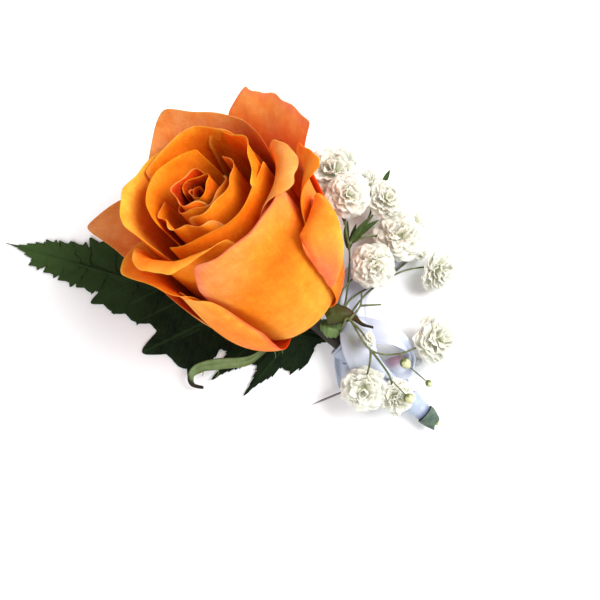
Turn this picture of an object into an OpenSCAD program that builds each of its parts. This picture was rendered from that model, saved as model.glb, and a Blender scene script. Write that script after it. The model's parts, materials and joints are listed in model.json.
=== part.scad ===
/* [Rose] */
// Radius of the open bloom
bloom_r = 35; // [32:0.5:38]
// Height of the bloom from its seat to its rim
bloom_h = 60; // [56:0.5:64]
// Thickness of a petal
petal_t = 0.5; // [0.3:0.05:0.6]
// Tilt of the bloom away from upright
rose_tilt = 45; // [42:0.5:48]
// Length of the hip under the petals
hip_l = 7; // [6:0.5:9]
// Thickness of a sepal
sepal_t = 0.5; // [0.4:0.05:0.8]

/* [Stem] */
// Radius of the rose stem
stem_r = 2.3; // [2:0.1:2.6]
// Length of the stem from its elbow to its cut end
stem_l = 52; // [50:0.5:60]
// Length of the green floral tape that shows past the ribbon
tape_l = 4.4; // [3:0.1:5]
// Thickness of the wound floral tape
tape_t = 0.6; // [0.4:0.05:0.9]

/* [Ribbon] */
// Width of the satin ribbon
ribbon_w = 11; // [9:0.5:12]
// Thickness of the ribbon
ribbon_t = 0.5; // [0.3:0.05:0.6]
// Thickness of the ribbon wound round the stem, at the knot
wound_t = 2.2; // [1.8:0.1:2.6]

/* [Pin] */
// Length of the pin from its point to the middle of its pearl
pin_l = 37; // [35:0.5:40]
// Diameter of the pin
pin_d = 0.66; // [0.5:0.02:0.8]
// Diameter of the pearl
pearl_d = 3.4; // [3:0.1:4]
// Play between the pin and the hole it made
pin_play = 0.1; // [0.05:0.01:0.2]

/* [Filler flowers] */
// Radius of a full filler flower
floret_r = 6; // [5.4:0.1:6.4]
// Radius of a filler twig
twig_r = 0.4; // [0.3:0.05:0.5]
// Radius of a bud
bud_r = 1.7; // [1.4:0.1:2]

/* [Fern] */
// Length of the main frond along its midrib
frond_l = 104; // [96:1:110]
// Length of its longest leaflets
leaflet_l = 27; // [24:1:29]
// Length of the lower frond
under_l = 34; // [30:1:36]
// Thickness of the leaf
frond_t = 0.5; // [0.4:0.05:0.8]

/* [Hidden] */
// Places of the numbers in a point
X = 0;
Y = 1;
Z = 2;
// Heading of the bloom's axis on the table
rose_turn = 130.8;
// Gap between pieces that only touch
gap = 0.15;
// Lift of the bloom's seat above the table
seat = [-0.046*bloom_r, -0.009*bloom_r, 0.4*bloom_r];

// The petals, from the heart outwards. A row holds:
// az, the heading of its middle round the bloom's axis
// w, its half width, and girth, where its body bulges, as shares of bloom_r
// rim_r, a share of bloom_r, and rim_h, a share of bloom_h: the fold of its rim
// lean, its lean outwards at the fold, and roll, the turn after the fold
// lap, the length of the part after the fold, a share of bloom_r
// drop and tip: how far the corners stay back, and how pointed that leaves it
// skew, how far one side stands out, and swing, the turn of the lap round the axis
// flare, how far the margins stand out
//  az,   w, girth, rim_r, rim_h, lean, roll, lap, drop, tip, skew, swing, flare
petals = [
  [  20, 0.20, 0.10,  0.045, 0.92,   -4,   10, 0.03, 0.10,    3,  0.02,    0,  0.00],
  [ 150, 0.26, 0.15,  0.085, 0.92,   -4,   15, 0.04, 0.12,    3,  0.02,    0,  0.00],
  [ 280, 0.34, 0.19,  0.125, 0.94,   -4,   20, 0.04, 0.12,    3,  0.02,    0,  0.00],
  [  60, 0.40, 0.23,  0.175, 0.96,   -3,   20, 0.04, 0.12,    3,  0.02,    0,  0.00],
  [ 170, 0.40, 0.275, 0.225, 0.93,    0,   30, 0.04, 0.15,    3,  0.02,    0,  0.00],
  [ 215, 0.48, 0.32,  0.315, 0.94,    0,   30, 0.04, 0.15,    3,  0.03,    0,  0.02],
  [ 110, 0.44, 0.35,  0.36,  0.93,    2,   30, 0.03, 0.15,    3,  0.02,    0,  0.00],
  [  36, 0.52, 0.40,  0.455, 0.97,    4,   30, 0.05, 0.15,    3,  0.02,    0,  0.00],
  [ 272, 0.50, 0.43,  0.485, 0.95,    4,   20, 0.04, 0.15,    3,  0.02,    0,  0.00],
  [ -32, 0.58, 0.475, 0.56,  0.98,    5,   30, 0.05, 0.15,    3,  0.02,    0,  0.00],
  [ 184, 0.64, 0.50,  0.51,  0.91,    4,   40, 0.05, 0.15,    3,  0.02,    0,  0.01],
  [  55, 0.64, 0.54,  0.61,  0.96,    8,   35, 0.08, 0.15,    3, -0.03,    0,  0.00],
  [ 128, 0.52, 0.60,  0.62,  0.89,   12,  115, 0.17, 0.20,    3, -0.05,    0,  0.02],
  [ 229, 0.45, 0.60,  0.64,  0.885,  20,  135, 0.28, 0.15,    3,  0.00,    0,  0.00],
  [ -13, 0.80, 0.63,  0.68,  0.90,   24,   50, 0.34, 0.32,  1.5,  0.00,    0,  0.00],
  [ 180, 0.57, 0.665, 0.73,  0.90,    8,   80, 0.08, 0.15,    3,  0.00,    0, -0.01],
  [ 112, 0.46, 0.69,  0.68,  0.67,    0,   30, 0.06, 0.42,  1.7,  0.09,    0,  0.00],
  [ 234, 0.44, 0.71,  0.785, 0.78,   20,   60, 0.25, 0.25,    3,  0.00,    0,  0.00],
  [ -72, 0.56, 0.74,  0.82,  0.77,   22,   55, 0.44, 0.24,  2.6,  0.00,    0,  0.00],
  [  47, 0.70, 0.74,  0.765, 0.66,   18,   67, 0.53, 0.46,  1.5,  0.00,    0,  0.00],
  [ 223, 0.25, 0.80,  0.80,  0.69,   25,  140, 0.74, 0.25,  2.5,  0.00,  -30,  0.00],
  [  73, 0.42, 0.79,  0.83,  0.66,   25,   60, 0.27, 0.42,  1.5,  0.00,    0,  0.00],
  [  10, 0.55, 0.75,  0.80,  0.50,    5,   20, 0.06, 0.30,    2,  0.00,    0,  0.00]];
AZ = 0;
W = 1;
GIRTH = 2;
RIM_R = 3;
RIM_H = 4;
LEAN = 5;
ROLL = 6;
LAP = 7;
DROP = 8;
TIP = 9;
SKEW = 10;
SWING = 11;
FLARE = 12;
// Rims with corners: the petal, then the share of its length that the rim
// reaches at nine places from one margin to the other
rims = [
  [10, 0.82, 0.88, 0.94, 0.98, 1.00, 1.01, 0.97, 0.93, 0.86],
  [12, 0.86, 0.93, 0.99, 1.03, 1.00, 0.98, 0.97, 0.93, 0.85],
  [13, 0.84, 0.95, 0.985, 1.00, 1.00, 1.00, 0.985, 0.94, 0.86],
  [14, 0.66, 0.76, 0.90, 1.00, 1.00, 1.00, 1.00, 0.97, 0.88],
  [15, 0.78, 0.86, 0.915, 0.955, 1.02, 0.94, 0.87, 0.76, 0.60],
  [16, 0.86, 0.96, 1.00, 1.00, 1.00, 1.00, 1.00, 0.97, 0.88],
  [19, 0.72, 0.90, 0.93, 0.94, 0.94, 0.935, 0.935, 0.95, 0.80],
  [20, 0.55, 0.72, 0.88, 0.97, 1.05, 0.95, 0.86, 0.74, 0.60],
  [22, 0.75, 0.84, 0.90, 0.94, 0.98, 0.91, 0.83, 0.72, 0.60]];
// Least radius at which a petal's width is spread
petal_root = 3;

// Petals sit in a spiral on a domed seat, each a little outside the last
seat_first = 1.6;
seat_step = 0.5*(petal_t + gap/2);
seat_fall = 0.25;
seat_r = seat_first + len(petals)*seat_step;
inner_petals = 9;

// Stem, from its elbow behind the hip to its cut end
hip_end = -seat_r*seat_fall - gap - hip_l;
neck = stem_r + 2*gap;
elbow = rose_point([0, 0, hip_end - neck]);
stem_turn = -39.4;
knot_s = 0.96*bloom_r;
knot_w = 0.13*bloom_r;
knot_r = stem_r + wound_t;
stem_drop = asin((elbow[2] - knot_r - gap/2)/knot_s);
wrap_from = 0.32*bloom_r;
wrap_to = stem_l - tape_l - 0.5*stem_r;
wrap_bore = stem_r + gap;

// The pin crosses the stem just before the knot
pin_s = knot_s - knot_w/2 - 5*pin_d;
pin_turn = 23.1;
pin_rise = 9.3;
pin_share = 0.65;

// Ribbon loops. A row is a section: its middle as shares of bloom_r,
// then the heading and the rise of its width
YAW = 3;
RISE = 4;
SPAN = 5;
front_loop = [
  [0.75, -0.65, 0.275, -40, 0, 0.65],
  [0.66, -0.54, 0.37, -30,  0, 0.80],
  [0.54, -0.42, 0.45, -14,  0, 0.95],
  [0.475, -0.29, 0.44, -5,  0, 1.00],
  [0.47, -0.20, 0.38,   0,  0, 0.95],
  [0.52, -0.27, 0.31, -10,  0, 0.90],
  [0.64, -0.45, 0.28, -30,  0, 0.70],
  [0.70, -0.57, 0.24, -40,  0, 0.50]];
right_loop = [
  [0.88, -0.66, 0.20, -40,  0, 0.40],
  [0.83, -0.51, 0.31,  30, 30, 0.60],
  [0.77, -0.35, 0.37,  30, 45, 0.95],
  [0.82, -0.25, 0.36,  10, 50, 1.00],
  [0.92, -0.31, 0.33, -30, 50, 1.00],
  [0.99, -0.44, 0.30, -50, 35, 0.90],
  [0.97, -0.57, 0.27, -50, 12, 0.65],
  [0.93, -0.65, 0.255, -40, 0, 0.40]];
back_loop = [
  [0.66, -0.46, 0.19, -38,  0, 0.40],
  [0.54, -0.28, 0.20, -25,  0, 0.60],
  [0.47, -0.02, 0.18,  -8,  0, 0.80],
  [0.54,  0.18, 0.17, -20,  0, 0.95],
  [0.70,  0.32, 0.13, -40, 10, 1.00],
  [0.84,  0.40, 0.10, -60, 20, 0.80],
  [0.93,  0.44, 0.07, -60, 20, 0.50]];

// Sepals that show, in the same form, with their half width as a share of bloom_r
long_sepal = [
  [-0.02, -0.30, 0.35,  60, 0, 0.03],
  [-0.14, -0.37, 0.26,  60, 0, 0.04],
  [-0.27, -0.42, 0.20,  70, 0, 0.05],
  [-0.46, -0.55, 0.16,  70, 0, 0.05],
  [-0.74, -0.58, 0.16,  90, 0, 0.05],
  [-0.90, -0.61, 0.15, 110, 0, 0.045],
  [-0.99, -0.68, 0.13, 160, 0, 0.03],
  [-0.98, -0.77, 0.11, 215, 0, 0.02],
  [-0.88, -0.80, 0.10, 270, 0, 0.012]];
brown_sepal = [
  [0.235, -0.165, 0.475, 110, 0, 0.05],
  [0.28, -0.13, 0.47, 110, 0, 0.09],
  [0.38, -0.12, 0.47, 105, 0, 0.08],
  [0.47, -0.15, 0.46,  80, 0, 0.035],
  [0.54, -0.21, 0.50,  70, 0, 0.015],
  [0.64, -0.24, 0.51,  90, 0, 0.01]];
round_sepal = [
  [0.16, -0.21, 0.34, 80, 0, 0.05],
  [0.23, -0.26, 0.36, 80, 0, 0.09],
  [0.31, -0.27, 0.34, 95, 0, 0.085],
  [0.37, -0.25, 0.32, 100, 0, 0.03]];

// Filler flowers: middle as shares of bloom_r, size as a share of floret_r, turn
florets = [
  [0.28,  1.16, 0.34, 1.00,   0],
  [0.42,  0.91, 0.57, 1.00,  25],
  [0.77,  0.90, 0.37, 0.86,  50],
  [0.63,  1.05, 0.17, 0.74,  10],
  [0.90,  0.57, 0.31, 0.90,  35],
  [1.06,  0.71, 0.14, 0.47,   5],
  [1.09,  0.45, 0.14, 0.40,  15],
  [0.65,  0.30, 0.43, 1.00,  40],
  [1.26,  0.26, 0.20, 0.98,  20],
  [1.193, -0.355, 0.33, 1.06, 30],
  [0.56, -0.78, 0.44, 1.10,  45],
  [0.87, -0.89, 0.37, 0.77,  12],
  [0.60, -0.34, 0.56, 0.35,   8]];
SIZE = 3;
TURN = 4;
NONE = -1;
// Twigs: places they pass, as shares of bloom_r, and the flower at the end or NONE
upper_sprig = [
  [[[0.33, -0.26, 0.28], [0.41, 0.00, 0.28], [0.44, 0.34, 0.36], [0.43, 0.49, 0.40]], NONE],
  [[[0.43, 0.49, 0.40], [0.40, 0.66, 0.44]], 1],
  [[[0.40, 0.66, 0.44], [0.33, 0.86, 0.42]], 0],
  [[[0.43, 0.49, 0.40], [0.58, 0.66, 0.38]], 2],
  [[[0.58, 0.66, 0.38], [0.64, 0.82, 0.25]], 3],
  [[[0.43, 0.49, 0.40], [0.62, 0.57, 0.37]], 4],
  [[[0.72, 0.16, 0.20], [0.98, 0.36, 0.16], [1.03, 0.50, 0.14]], 5],
  [[[0.98, 0.36, 0.16], [1.03, 0.38, 0.15]], 6],
  [[[0.34, -0.24, 0.24], [0.45, 0.00, 0.22], [0.72, 0.16, 0.20]], NONE]];
middle_sprig = [
  [[[0.36, -0.26, 0.30], [0.37, 0.07, 0.36]], 7],
  [[[0.36, -0.26, 0.30], [0.60, 0.06, 0.26], [0.90, 0.25, 0.24]], 8]];
lower_sprig = [
  [[[0.36, -0.30, 0.30], [0.38, -0.22, 0.49], [0.43, -0.17, 0.55], [0.61, -0.43, 0.62],
    [0.87, -0.47, 0.48]], 9],
  [[[0.61, -0.43, 0.62], [0.60, -0.55, 0.63]], 10],
  [[[0.61, -0.43, 0.62], [0.78, -0.66, 0.50]], 11],
  [[[0.43, -0.17, 0.55], [0.53, -0.05, 0.46], [0.54, 0.07, 0.46]], NONE],
  [[[0.53, -0.05, 0.46], [0.72, -0.04, 0.43]], NONE],
  [[[0.43, -0.17, 0.55], [0.52, -0.26, 0.60]], 12]];
// Buds and the places their stalks pass
buds = [
  [[0.87, -0.47, 0.48], [0.93, -0.56, 0.41]],
  [[0.93, -0.56, 0.41], [1.16, -0.75, 0.24]],
  [[0.80, -0.70, 0.50], [0.95, -0.86, 0.52]]];

// The main frond: where its stalk starts, as shares of bloom_r, and its heading
frond_at = [0.20, -0.32];
frond_turn = 163.8;
leaflet_turn = 42;
leaflet_wide = 0.36;
blade_wide = 0.06;
tip_from = 0.78;
// Its leaflet tips: along it as a share of frond_l, out to a side as a share of leaflet_l
frond_tips = [
  [0.93, 0.17], [0.88, 0.20], [0.83, 0.24], [0.77, 0.26], [0.71, 0.39], [0.64, 0.43],
  [0.56, 0.46], [0.51, 0.77], [0.43, 0.55], [0.35, 0.46], [0.26, 0.52], [0.15, 0.48],
  [0.90, -0.17], [0.86, -0.20], [0.82, -0.23], [0.77, -0.33], [0.70, -0.41], [0.62, -0.52],
  [0.54, -0.63], [0.46, -0.74], [0.37, -0.81], [0.28, -0.81], [0.19, -0.74], [0.10, -0.60]];
// The lower frond's leaflets: start as shares of bloom_r, heading,
// length and half width as shares of under_l
lower_leaflets = [
  [0.07, -0.18, 230, 0.94, 0.14],
  [-0.22, -0.20, 222, 0.82, 0.15],
  [-0.26, -0.28, -10, 0.60, 0.12]];

PETALS = [for (k = [1:len(petals)]) str("petal_", k)];
FLORETS = [for (k = [1:len(florets)]) str("filler_flower_", k)];

// Shared shapes
function unit(v) = v/max(norm(v), 0.000001);
function bezier(a, b, c, d, t) =
  a*pow(1 - t, 3) + 3*b*t*pow(1 - t, 2) + 3*c*t*t*(1 - t) + d*pow(t, 3);
function spline(a, b, c, d, t) =
  b + t*(c - a)/2 + t*t*(2*a - 5*b + 4*c - d)/2 + t*t*t*(3*b - a - 3*c + d)/2;
// A table's rows made finer along a smooth curve
function smooth(rows, steps) = [
  for (i = [0:len(rows) - 2], j = [0:steps - 1])
    spline(rows[max(i - 1, 0)], rows[i], rows[i + 1], rows[min(i + 2, len(rows) - 1)], j/steps),
  rows[len(rows) - 1]];
function across(row) = [cos(row[YAW])*cos(row[RISE]), sin(row[YAW])*cos(row[RISE]), sin(row[RISE])];
function normal(g, i, j) = let(n = len(g) - 1, m = len(g[0]) - 1)
  unit(cross(g[min(i + 1, n)][j] - g[max(i - 1, 0)][j], g[i][min(j + 1, m)] - g[i][max(j - 1, 0)]));
function spot(p) = bloom_r*[p[X], p[Y], p[Z]];
// A place in the bloom's own frame, axis upwards, as a place on the table
function rose_point(p) = let(
  x = p[X]*cos(rose_tilt) + p[Z]*sin(rose_tilt),
  z = p[Z]*cos(rose_tilt) - p[X]*sin(rose_tilt))
  seat + [x*cos(rose_turn) - p[Y]*sin(rose_turn), x*sin(rose_turn) + p[Y]*cos(rose_turn), z];

function quad(a, b, c, d) = [[a, b, c], [a, c, d]];
// A thin wall of even thickness on a grid of points
module shell(g, t) {
  n = len(g);
  m = len(g[0]);
  upper = [for (i = [0:n - 1], j = [0:m - 1]) g[i][j] + normal(g, i, j)*t/2];
  lower = [for (i = [0:n - 1], j = [0:m - 1]) g[i][j] - normal(g, i, j)*t/2];
  function at(i, j, side) = side*n*m + i*m + j;
  faces = [
    for (i = [0:n - 2], j = [0:m - 2]) each concat(
      quad(at(i, j, 0), at(i, j + 1, 0), at(i + 1, j + 1, 0), at(i + 1, j, 0)),
      quad(at(i, j, 1), at(i + 1, j, 1), at(i + 1, j + 1, 1), at(i, j + 1, 1))),
    for (i = [0:n - 2]) each concat(
      quad(at(i, 0, 0), at(i + 1, 0, 0), at(i + 1, 0, 1), at(i, 0, 1)),
      quad(at(i, m - 1, 0), at(i, m - 1, 1), at(i + 1, m - 1, 1), at(i + 1, m - 1, 0))),
    for (j = [0:m - 2]) each concat(
      quad(at(0, j, 0), at(0, j, 1), at(0, j + 1, 1), at(0, j + 1, 0)),
      quad(at(n - 1, j, 0), at(n - 1, j + 1, 0), at(n - 1, j + 1, 1), at(n - 1, j, 1)))];
  polyhedron(concat(upper, lower), faces, convexity = 6);
}

// A strip along a table of sections, half of it to each side
module strip(rows, half, t) {
  line = smooth(rows, 2);
  shell([for (row = line) [for (u = [-1, 0, 1]) spot(row) + across(row)*u*half*row[SPAN]]], t);
}

// A round twig through a list of places
module twig(path, r) {
  sides = 5;
  last = len(path) - 1;
  rings = [for (i = [0:last])
    let(along = unit(path[min(i + 1, last)] - path[max(i - 1, 0)]),
        side = unit(cross(along, [0, 0, 1])),
        top = cross(side, along))
    for (k = [0:sides - 1]) path[i] + r*(cos(k*360/sides)*side + sin(k*360/sides)*top)];
  faces = [
    [for (k = [sides - 1:-1:0]) k],
    [for (k = [0:sides - 1]) last*sides + k],
    for (i = [0:last - 1], k = [0:sides - 1]) each
      quad(i*sides + k, i*sides + (k + 1)%sides, (i + 1)*sides + (k + 1)%sides, (i + 1)*sides + k)];
  polyhedron(rings, faces, convexity = 4);
}

module on_rose() translate(seat) rotate([0, rose_tilt, rose_turn]) children();
module on_stem() translate(elbow) rotate([0, 90 + stem_drop, stem_turn]) children();
module on_pin() on_stem() translate([0, 0, pin_s])
  rotate([0, -90 - stem_drop, 0]) rotate([0, 90 - pin_rise, pin_turn - stem_turn]) children();

// Share of a petal's length that lies before its fold
function body_share(p) =
  min(0.85, 1 - p[LAP]*bloom_r/(p[LAP]*bloom_r + 1.15*p[RIM_H]*bloom_h));
// Radius and height of a petal's middle line, at a share of its length
function petal_line(p, seat_at, s) = let(
  fold = [p[RIM_R]*bloom_r, p[RIM_H]*bloom_h],
  from = [seat_at, -seat_at*seat_fall],
  out = [1.12*p[GIRTH]*bloom_r, 0],
  reach = (0.42 - 0.008*max(0, p[LEAN]))*fold[1],
  up = fold - reach*[sin(p[LEAN]), cos(p[LEAN])],
  body = body_share(p),
  turn = p[LEAN] + p[ROLL]*(s - body)/(1 - body),
  bend = p[LAP]*bloom_r/(p[ROLL]*PI/180))
  s <= body ? bezier(from, out, up, fold, s/body)
    : fold + bend*[cos(p[LEAN]) - cos(turn), sin(turn) - sin(p[LEAN])];
// Share of its length that a petal's rim reaches, u from -1 to 1 across it
function rim_reach(k, u) = let(
  p = petals[k - 1],
  own = [for (row = rims) if (row[0] == k) row],
  x = 4*(u + 1),
  i = min(floor(x), 7))
  len(own) == 0 ? 1 - p[DROP]*pow(abs(u), p[TIP])
    : own[0][i + 1] + (own[0][i + 2] - own[0][i + 1])*(x - i);
// A point of petal k, t from 0 to 1 up it
function petal_point(k, u, t) = let(
  p = petals[k - 1],
  s = t*rim_reach(k, u),
  line = petal_line(p, seat_first + k*seat_step, s),
  half = p[W]*bloom_r*(0.18 + 0.82*sin(90*min(1, s/0.6))),
  body = body_share(p),
  r = line[0] + bloom_r*(p[SKEW]*u*s + p[FLARE]*pow(u, 4)*s*s),
  a = p[AZ] + u*half/max(line[0], petal_root)*180/PI + p[SWING]*max(0, (s - body)/(1 - body)))
  [r*cos(a), r*sin(a), line[1]];

module petal(k) {
  shade = k/len(petals);
  cols = k <= inner_petals ? 6 : 8;
  rows = k <= inner_petals ? 8 : 10;
  color([0.93, 0.42 + 0.2*shade, 0.12 + 0.2*shade])
    on_rose()
      shell([for (i = [0:cols]) [for (j = [0:rows])
        petal_point(k, 2*i/cols - 1, j/rows)]], petal_t);
}

module heart() {
  top = 0.86*bloom_h;
  r = 0.5*seat_first;
  color("orangered") on_rose()
    rotate_extrude($fn = 24)
      polygon([[0, 0], [r/2, 0], [r, 0.3*top], [r, 0.8*top], [r/2, top], [0, top]]);
}

module hip() {
  brim = seat_r + 2*petal_t;
  color("darkolivegreen") on_rose()
    rotate_extrude($fn = 40)
      polygon([[0, -petal_t - gap], [brim, -brim*seat_fall - petal_t - gap],
        [brim, -brim*seat_fall - 2*petal_t], [0.8*brim, hip_end + 0.45*hip_l],
        [1.4*stem_r, hip_end + 0.1*hip_l], [stem_r, hip_end], [0, hip_end]]);
}

module stem() {
  color("olivedrab") difference() {
    union() {
      on_rose() translate([0, 0, hip_end - neck]) cylinder(h = neck, r = stem_r, $fn = 32);
      translate(elbow) sphere(r = stem_r + gap, $fn = 32);
      on_stem() cylinder(h = stem_l, r = stem_r, $fn = 32);
    }
    pin_hole();
  }
}
module pin_hole() on_pin() translate([0, 0, -2*knot_r])
  cylinder(h = 4*knot_r, r = pin_d/2 + pin_play, $fn = 32);

// Radius of the wound ribbon: it swells up to the knot and thins to the tape
module stem_wrap() {
  under_knot = knot_r - ribbon_t - gap;
  color("lavender") difference() {
    on_stem() rotate_extrude($fn = 48)
      polygon([[wrap_bore, wrap_from], [wrap_bore + ribbon_t, wrap_from],
        [under_knot - 0.2*wound_t, knot_s - knot_w], [under_knot, knot_s - knot_w/2],
        [under_knot, knot_s + knot_w/2], [wrap_bore + tape_t, wrap_to], [wrap_bore, wrap_to]]);
    pin_hole();
  }
}
module knot() {
  color("white") on_stem() translate([0, 0, knot_s]) rotate_extrude($fn = 48)
    polygon([[knot_r - ribbon_t, -knot_w/2], [knot_r - ribbon_t/2, -knot_w/2],
      [knot_r, -knot_w/4], [knot_r, knot_w/4], [knot_r - ribbon_t/2, knot_w/2],
      [knot_r - ribbon_t, knot_w/2]]);
}
module floral_tape() {
  color("darkgreen") on_stem() translate([0, 0, wrap_to + gap]) difference() {
    cylinder(h = tape_l, r = wrap_bore + tape_t, $fn = 32);
    translate([0, 0, -gap]) cylinder(h = tape_l + 2*gap, r = wrap_bore, $fn = 32);
  }
}
module front_loop() color("white") strip(front_loop, ribbon_w/2, ribbon_t);
module right_loop() color("white") strip(right_loop, ribbon_w/2, ribbon_t);
module back_loop() color("white") strip(back_loop, ribbon_w/2, ribbon_t);

module long_sepal() color("darkseagreen") strip(long_sepal, bloom_r, sepal_t);
module brown_sepal() color("olive") strip(brown_sepal, bloom_r, sepal_t);
module round_sepal() color("darkseagreen") strip(round_sepal, bloom_r, sepal_t);
// A plain sepal that hugs the outside of the bloom, out of sight
module hidden_sepal(az) {
  half = 0.08*bloom_r;
  line = [for (t = [0:0.125:1]) [seat_r + t*0.42*bloom_r, hip_end + 0.55*hip_l + t*t*0.16*bloom_r]];
  color("darkseagreen") on_rose()
    shell([for (row = line) [for (u = [-1, 0, 1])
      let(a = az + u*half*(1.1 - row[0]/bloom_r)/row[0]*180/PI)
        [row[0]*cos(a), row[0]*sin(a), row[1]]]], sepal_t);
}

module pin_shaft() {
  ahead = pin_share*pin_l;
  taper = 6*pin_d;
  color("silver") on_pin() {
    translate([0, 0, taper - ahead]) cylinder(h = pin_l - taper - pearl_d/4, r = pin_d/2, $fn = 32);
    translate([0, 0, -ahead]) cylinder(h = taper, r1 = pin_d/16, r2 = pin_d/2, $fn = 32);
  }
}
module pearl() {
  behind = (1 - pin_share)*pin_l;
  color("ivory") on_pin() translate([0, 0, behind]) difference() {
    sphere(r = pearl_d/2, $fn = 40);
    translate([0, 0, -pearl_d]) cylinder(h = 0.75*pearl_d + gap, r = pin_d/2 + pin_play, $fn = 32);
  }
}

function floret_radius(k) = floret_r*florets[k][SIZE];
function floret_spot(k) = spot(florets[k]);
// The point just clear of a flower, on the side that a twig comes from
function floret_foot(k, from) = floret_spot(k) + unit(from - floret_spot(k))*(0.97*floret_radius(k) + gap);
module twigs(rows) {
  for (row = rows) {
    path = [for (p = row[0]) spot(p)];
    end = path[len(path) - 1];
    twig(row[1] == NONE ? path : concat(path, [floret_foot(row[1], end)]), twig_r);
  }
}
module upper_sprig() color("olivedrab") twigs(upper_sprig);
module middle_sprig() color("olivedrab") twigs(middle_sprig);
module lower_sprig() color("olivedrab") {
  twigs(lower_sprig);
  for (bud = buds) {
    twig([for (p = bud) spot(p)], twig_r);
    translate(spot(bud[1])) sphere(r = bud_r, $fn = 16);
  }
}

// A ruffled ball: its rings of petals bulge and dip in turn
module filler_flower(k) {
  rings = 6;
  around = 12;
  r = floret_radius(k - 1);
  function swell(i, j) = 0.94 + 0.06*cos(180*j + 180*i);
  points = [
    [0, 0, 0.95*r],
    for (i = [1:rings - 1], j = [0:around - 1])
      let(down = 180*i/rings, a = 360*j/around + florets[k - 1][TURN])
        r*swell(i, j)*[sin(down)*cos(a), sin(down)*sin(a), cos(down)],
    [0, 0, -0.95*r]];
  last = len(points) - 1;
  function at(i, j) = 1 + (i - 1)*around + j%around;
  faces = [
    for (j = [0:around - 1]) each [[0, at(1, j + 1), at(1, j)],
      [last, at(rings - 1, j), at(rings - 1, j + 1)]],
    for (i = [1:rings - 2], j = [0:around - 1])
      each quad(at(i, j), at(i, j + 1), at(i + 1, j + 1), at(i + 1, j))];
  color("ivory") translate(floret_spot(k - 1)) polyhedron(points, faces, convexity = 4);
}

// Half width of a leaflet, widest near a third of its length
function leaf_half(t) = sin(180*pow(t, 0.6))*(1 - 0.35*t) + 0.1*(1 - t);
// One leaflet along +X with teeth that point to its tip
module leaflet(l, w, teeth) {
  edge = [for (i = [0:teeth - 1]) each [
    [l*i/teeth, w*leaf_half(i/teeth)*0.82],
    [l*(i + 0.94)/teeth, w*leaf_half((i + 0.55)/teeth)*1.08]]];
  polygon(concat(edge, [[l, 0]], [for (i = [len(edge) - 1:-1:0]) [edge[i][0], -edge[i][1]]]));
}
module main_frond() {
  color("darkgreen") translate(bloom_r*[frond_at[X], frond_at[Y], 0]) rotate(frond_turn)
    linear_extrude(frond_t) union() {
      leaflet(frond_l, blade_wide*frond_l, 13);
      translate([tip_from*frond_l, 0]) leaflet((1 - tip_from)*frond_l, blade_wide*frond_l, 6);
      for (row = frond_tips) {
        out = row[1]*leaflet_l;
        size = abs(out)/sin(leaflet_turn);
        translate([row[0]*frond_l - abs(out)/tan(leaflet_turn), 0])
          rotate(sign(out)*leaflet_turn) leaflet(size, leaflet_wide*size, 5);
      }
    }
}
module lower_frond() {
  color("darkgreen") translate([0, 0, frond_t + gap]) linear_extrude(frond_t)
    union() for (row = lower_leaflets)
      translate(bloom_r*[row[0], row[1]]) rotate(row[2])
        leaflet(row[3]*under_l, row[4]*under_l, 7);
}

main_frond();
lower_frond();
hip();
heart();
for (k = [1:len(petals)]) petal(k);
long_sepal();
brown_sepal();
round_sepal();
hidden_sepal(300);  // side_sepal
hidden_sepal(60);  // far_sepal
stem();
floral_tape();
stem_wrap();
knot();
front_loop();
right_loop();
back_loop();
pin_shaft();
pearl();
upper_sprig();
middle_sprig();
lower_sprig();
for (k = [1:len(florets)]) filler_flower(k);
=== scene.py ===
import json
import math
import random

import bmesh
import bpy
from mathutils import Matrix, Vector, noise

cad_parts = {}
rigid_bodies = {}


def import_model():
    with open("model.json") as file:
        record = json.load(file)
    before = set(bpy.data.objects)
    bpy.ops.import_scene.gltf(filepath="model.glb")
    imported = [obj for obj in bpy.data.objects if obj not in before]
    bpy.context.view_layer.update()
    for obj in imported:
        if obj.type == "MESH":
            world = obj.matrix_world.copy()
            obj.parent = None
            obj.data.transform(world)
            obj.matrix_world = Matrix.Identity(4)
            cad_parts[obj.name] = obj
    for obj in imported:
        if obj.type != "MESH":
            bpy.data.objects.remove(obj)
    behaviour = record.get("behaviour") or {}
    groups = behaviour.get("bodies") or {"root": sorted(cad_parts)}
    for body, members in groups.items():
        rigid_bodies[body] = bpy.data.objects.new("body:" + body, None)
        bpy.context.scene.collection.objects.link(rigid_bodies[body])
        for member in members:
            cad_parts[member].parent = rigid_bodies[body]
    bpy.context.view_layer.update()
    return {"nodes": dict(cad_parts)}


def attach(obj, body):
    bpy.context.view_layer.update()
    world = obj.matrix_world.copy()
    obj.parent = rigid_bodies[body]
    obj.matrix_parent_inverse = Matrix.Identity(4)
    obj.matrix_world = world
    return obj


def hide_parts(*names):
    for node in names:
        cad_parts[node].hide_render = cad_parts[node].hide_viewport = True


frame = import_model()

scene_objects = bpy.context.scene.collection.objects

# Metres in a millimetre
MM = 0.001
# Sizes of the part as in its source, in millimetres and degrees
BLOOM_R = 35.0
BLOOM_H = 60.0
PETAL_T = 0.5
ROSE_TILT = 45.0
ROSE_TURN = 130.8
SEAT = Vector((-0.046, -0.009, 0.4)) * BLOOM_R
SEAT_FIRST = 1.6
SEAT_STEP = 0.2875
SEAT_FALL = 0.25
RIBBON_W = 11.0
FLORET_R = 6.0
TWIG_R = 0.4
BUD_R = 1.7
FROND_L = 104.0
LEAFLET_L = 27.0
UNDER_L = 34.0
# How a petal's side runs from its seat to its fold, as in the source
FOLD_REACH = 0.42
REACH_LOST = 0.008
BASE_PULL = 1.12
LAP_LENGTH = 1.15
NARROWEST = 0.18
WIDEST_FROM = 0.6
# Vertices nearer than this are one, and curves take their heading from this far on either side
MERGE = 0.0005
NEARBY = 0.01


# Shapes
rad = math.radians


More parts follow.
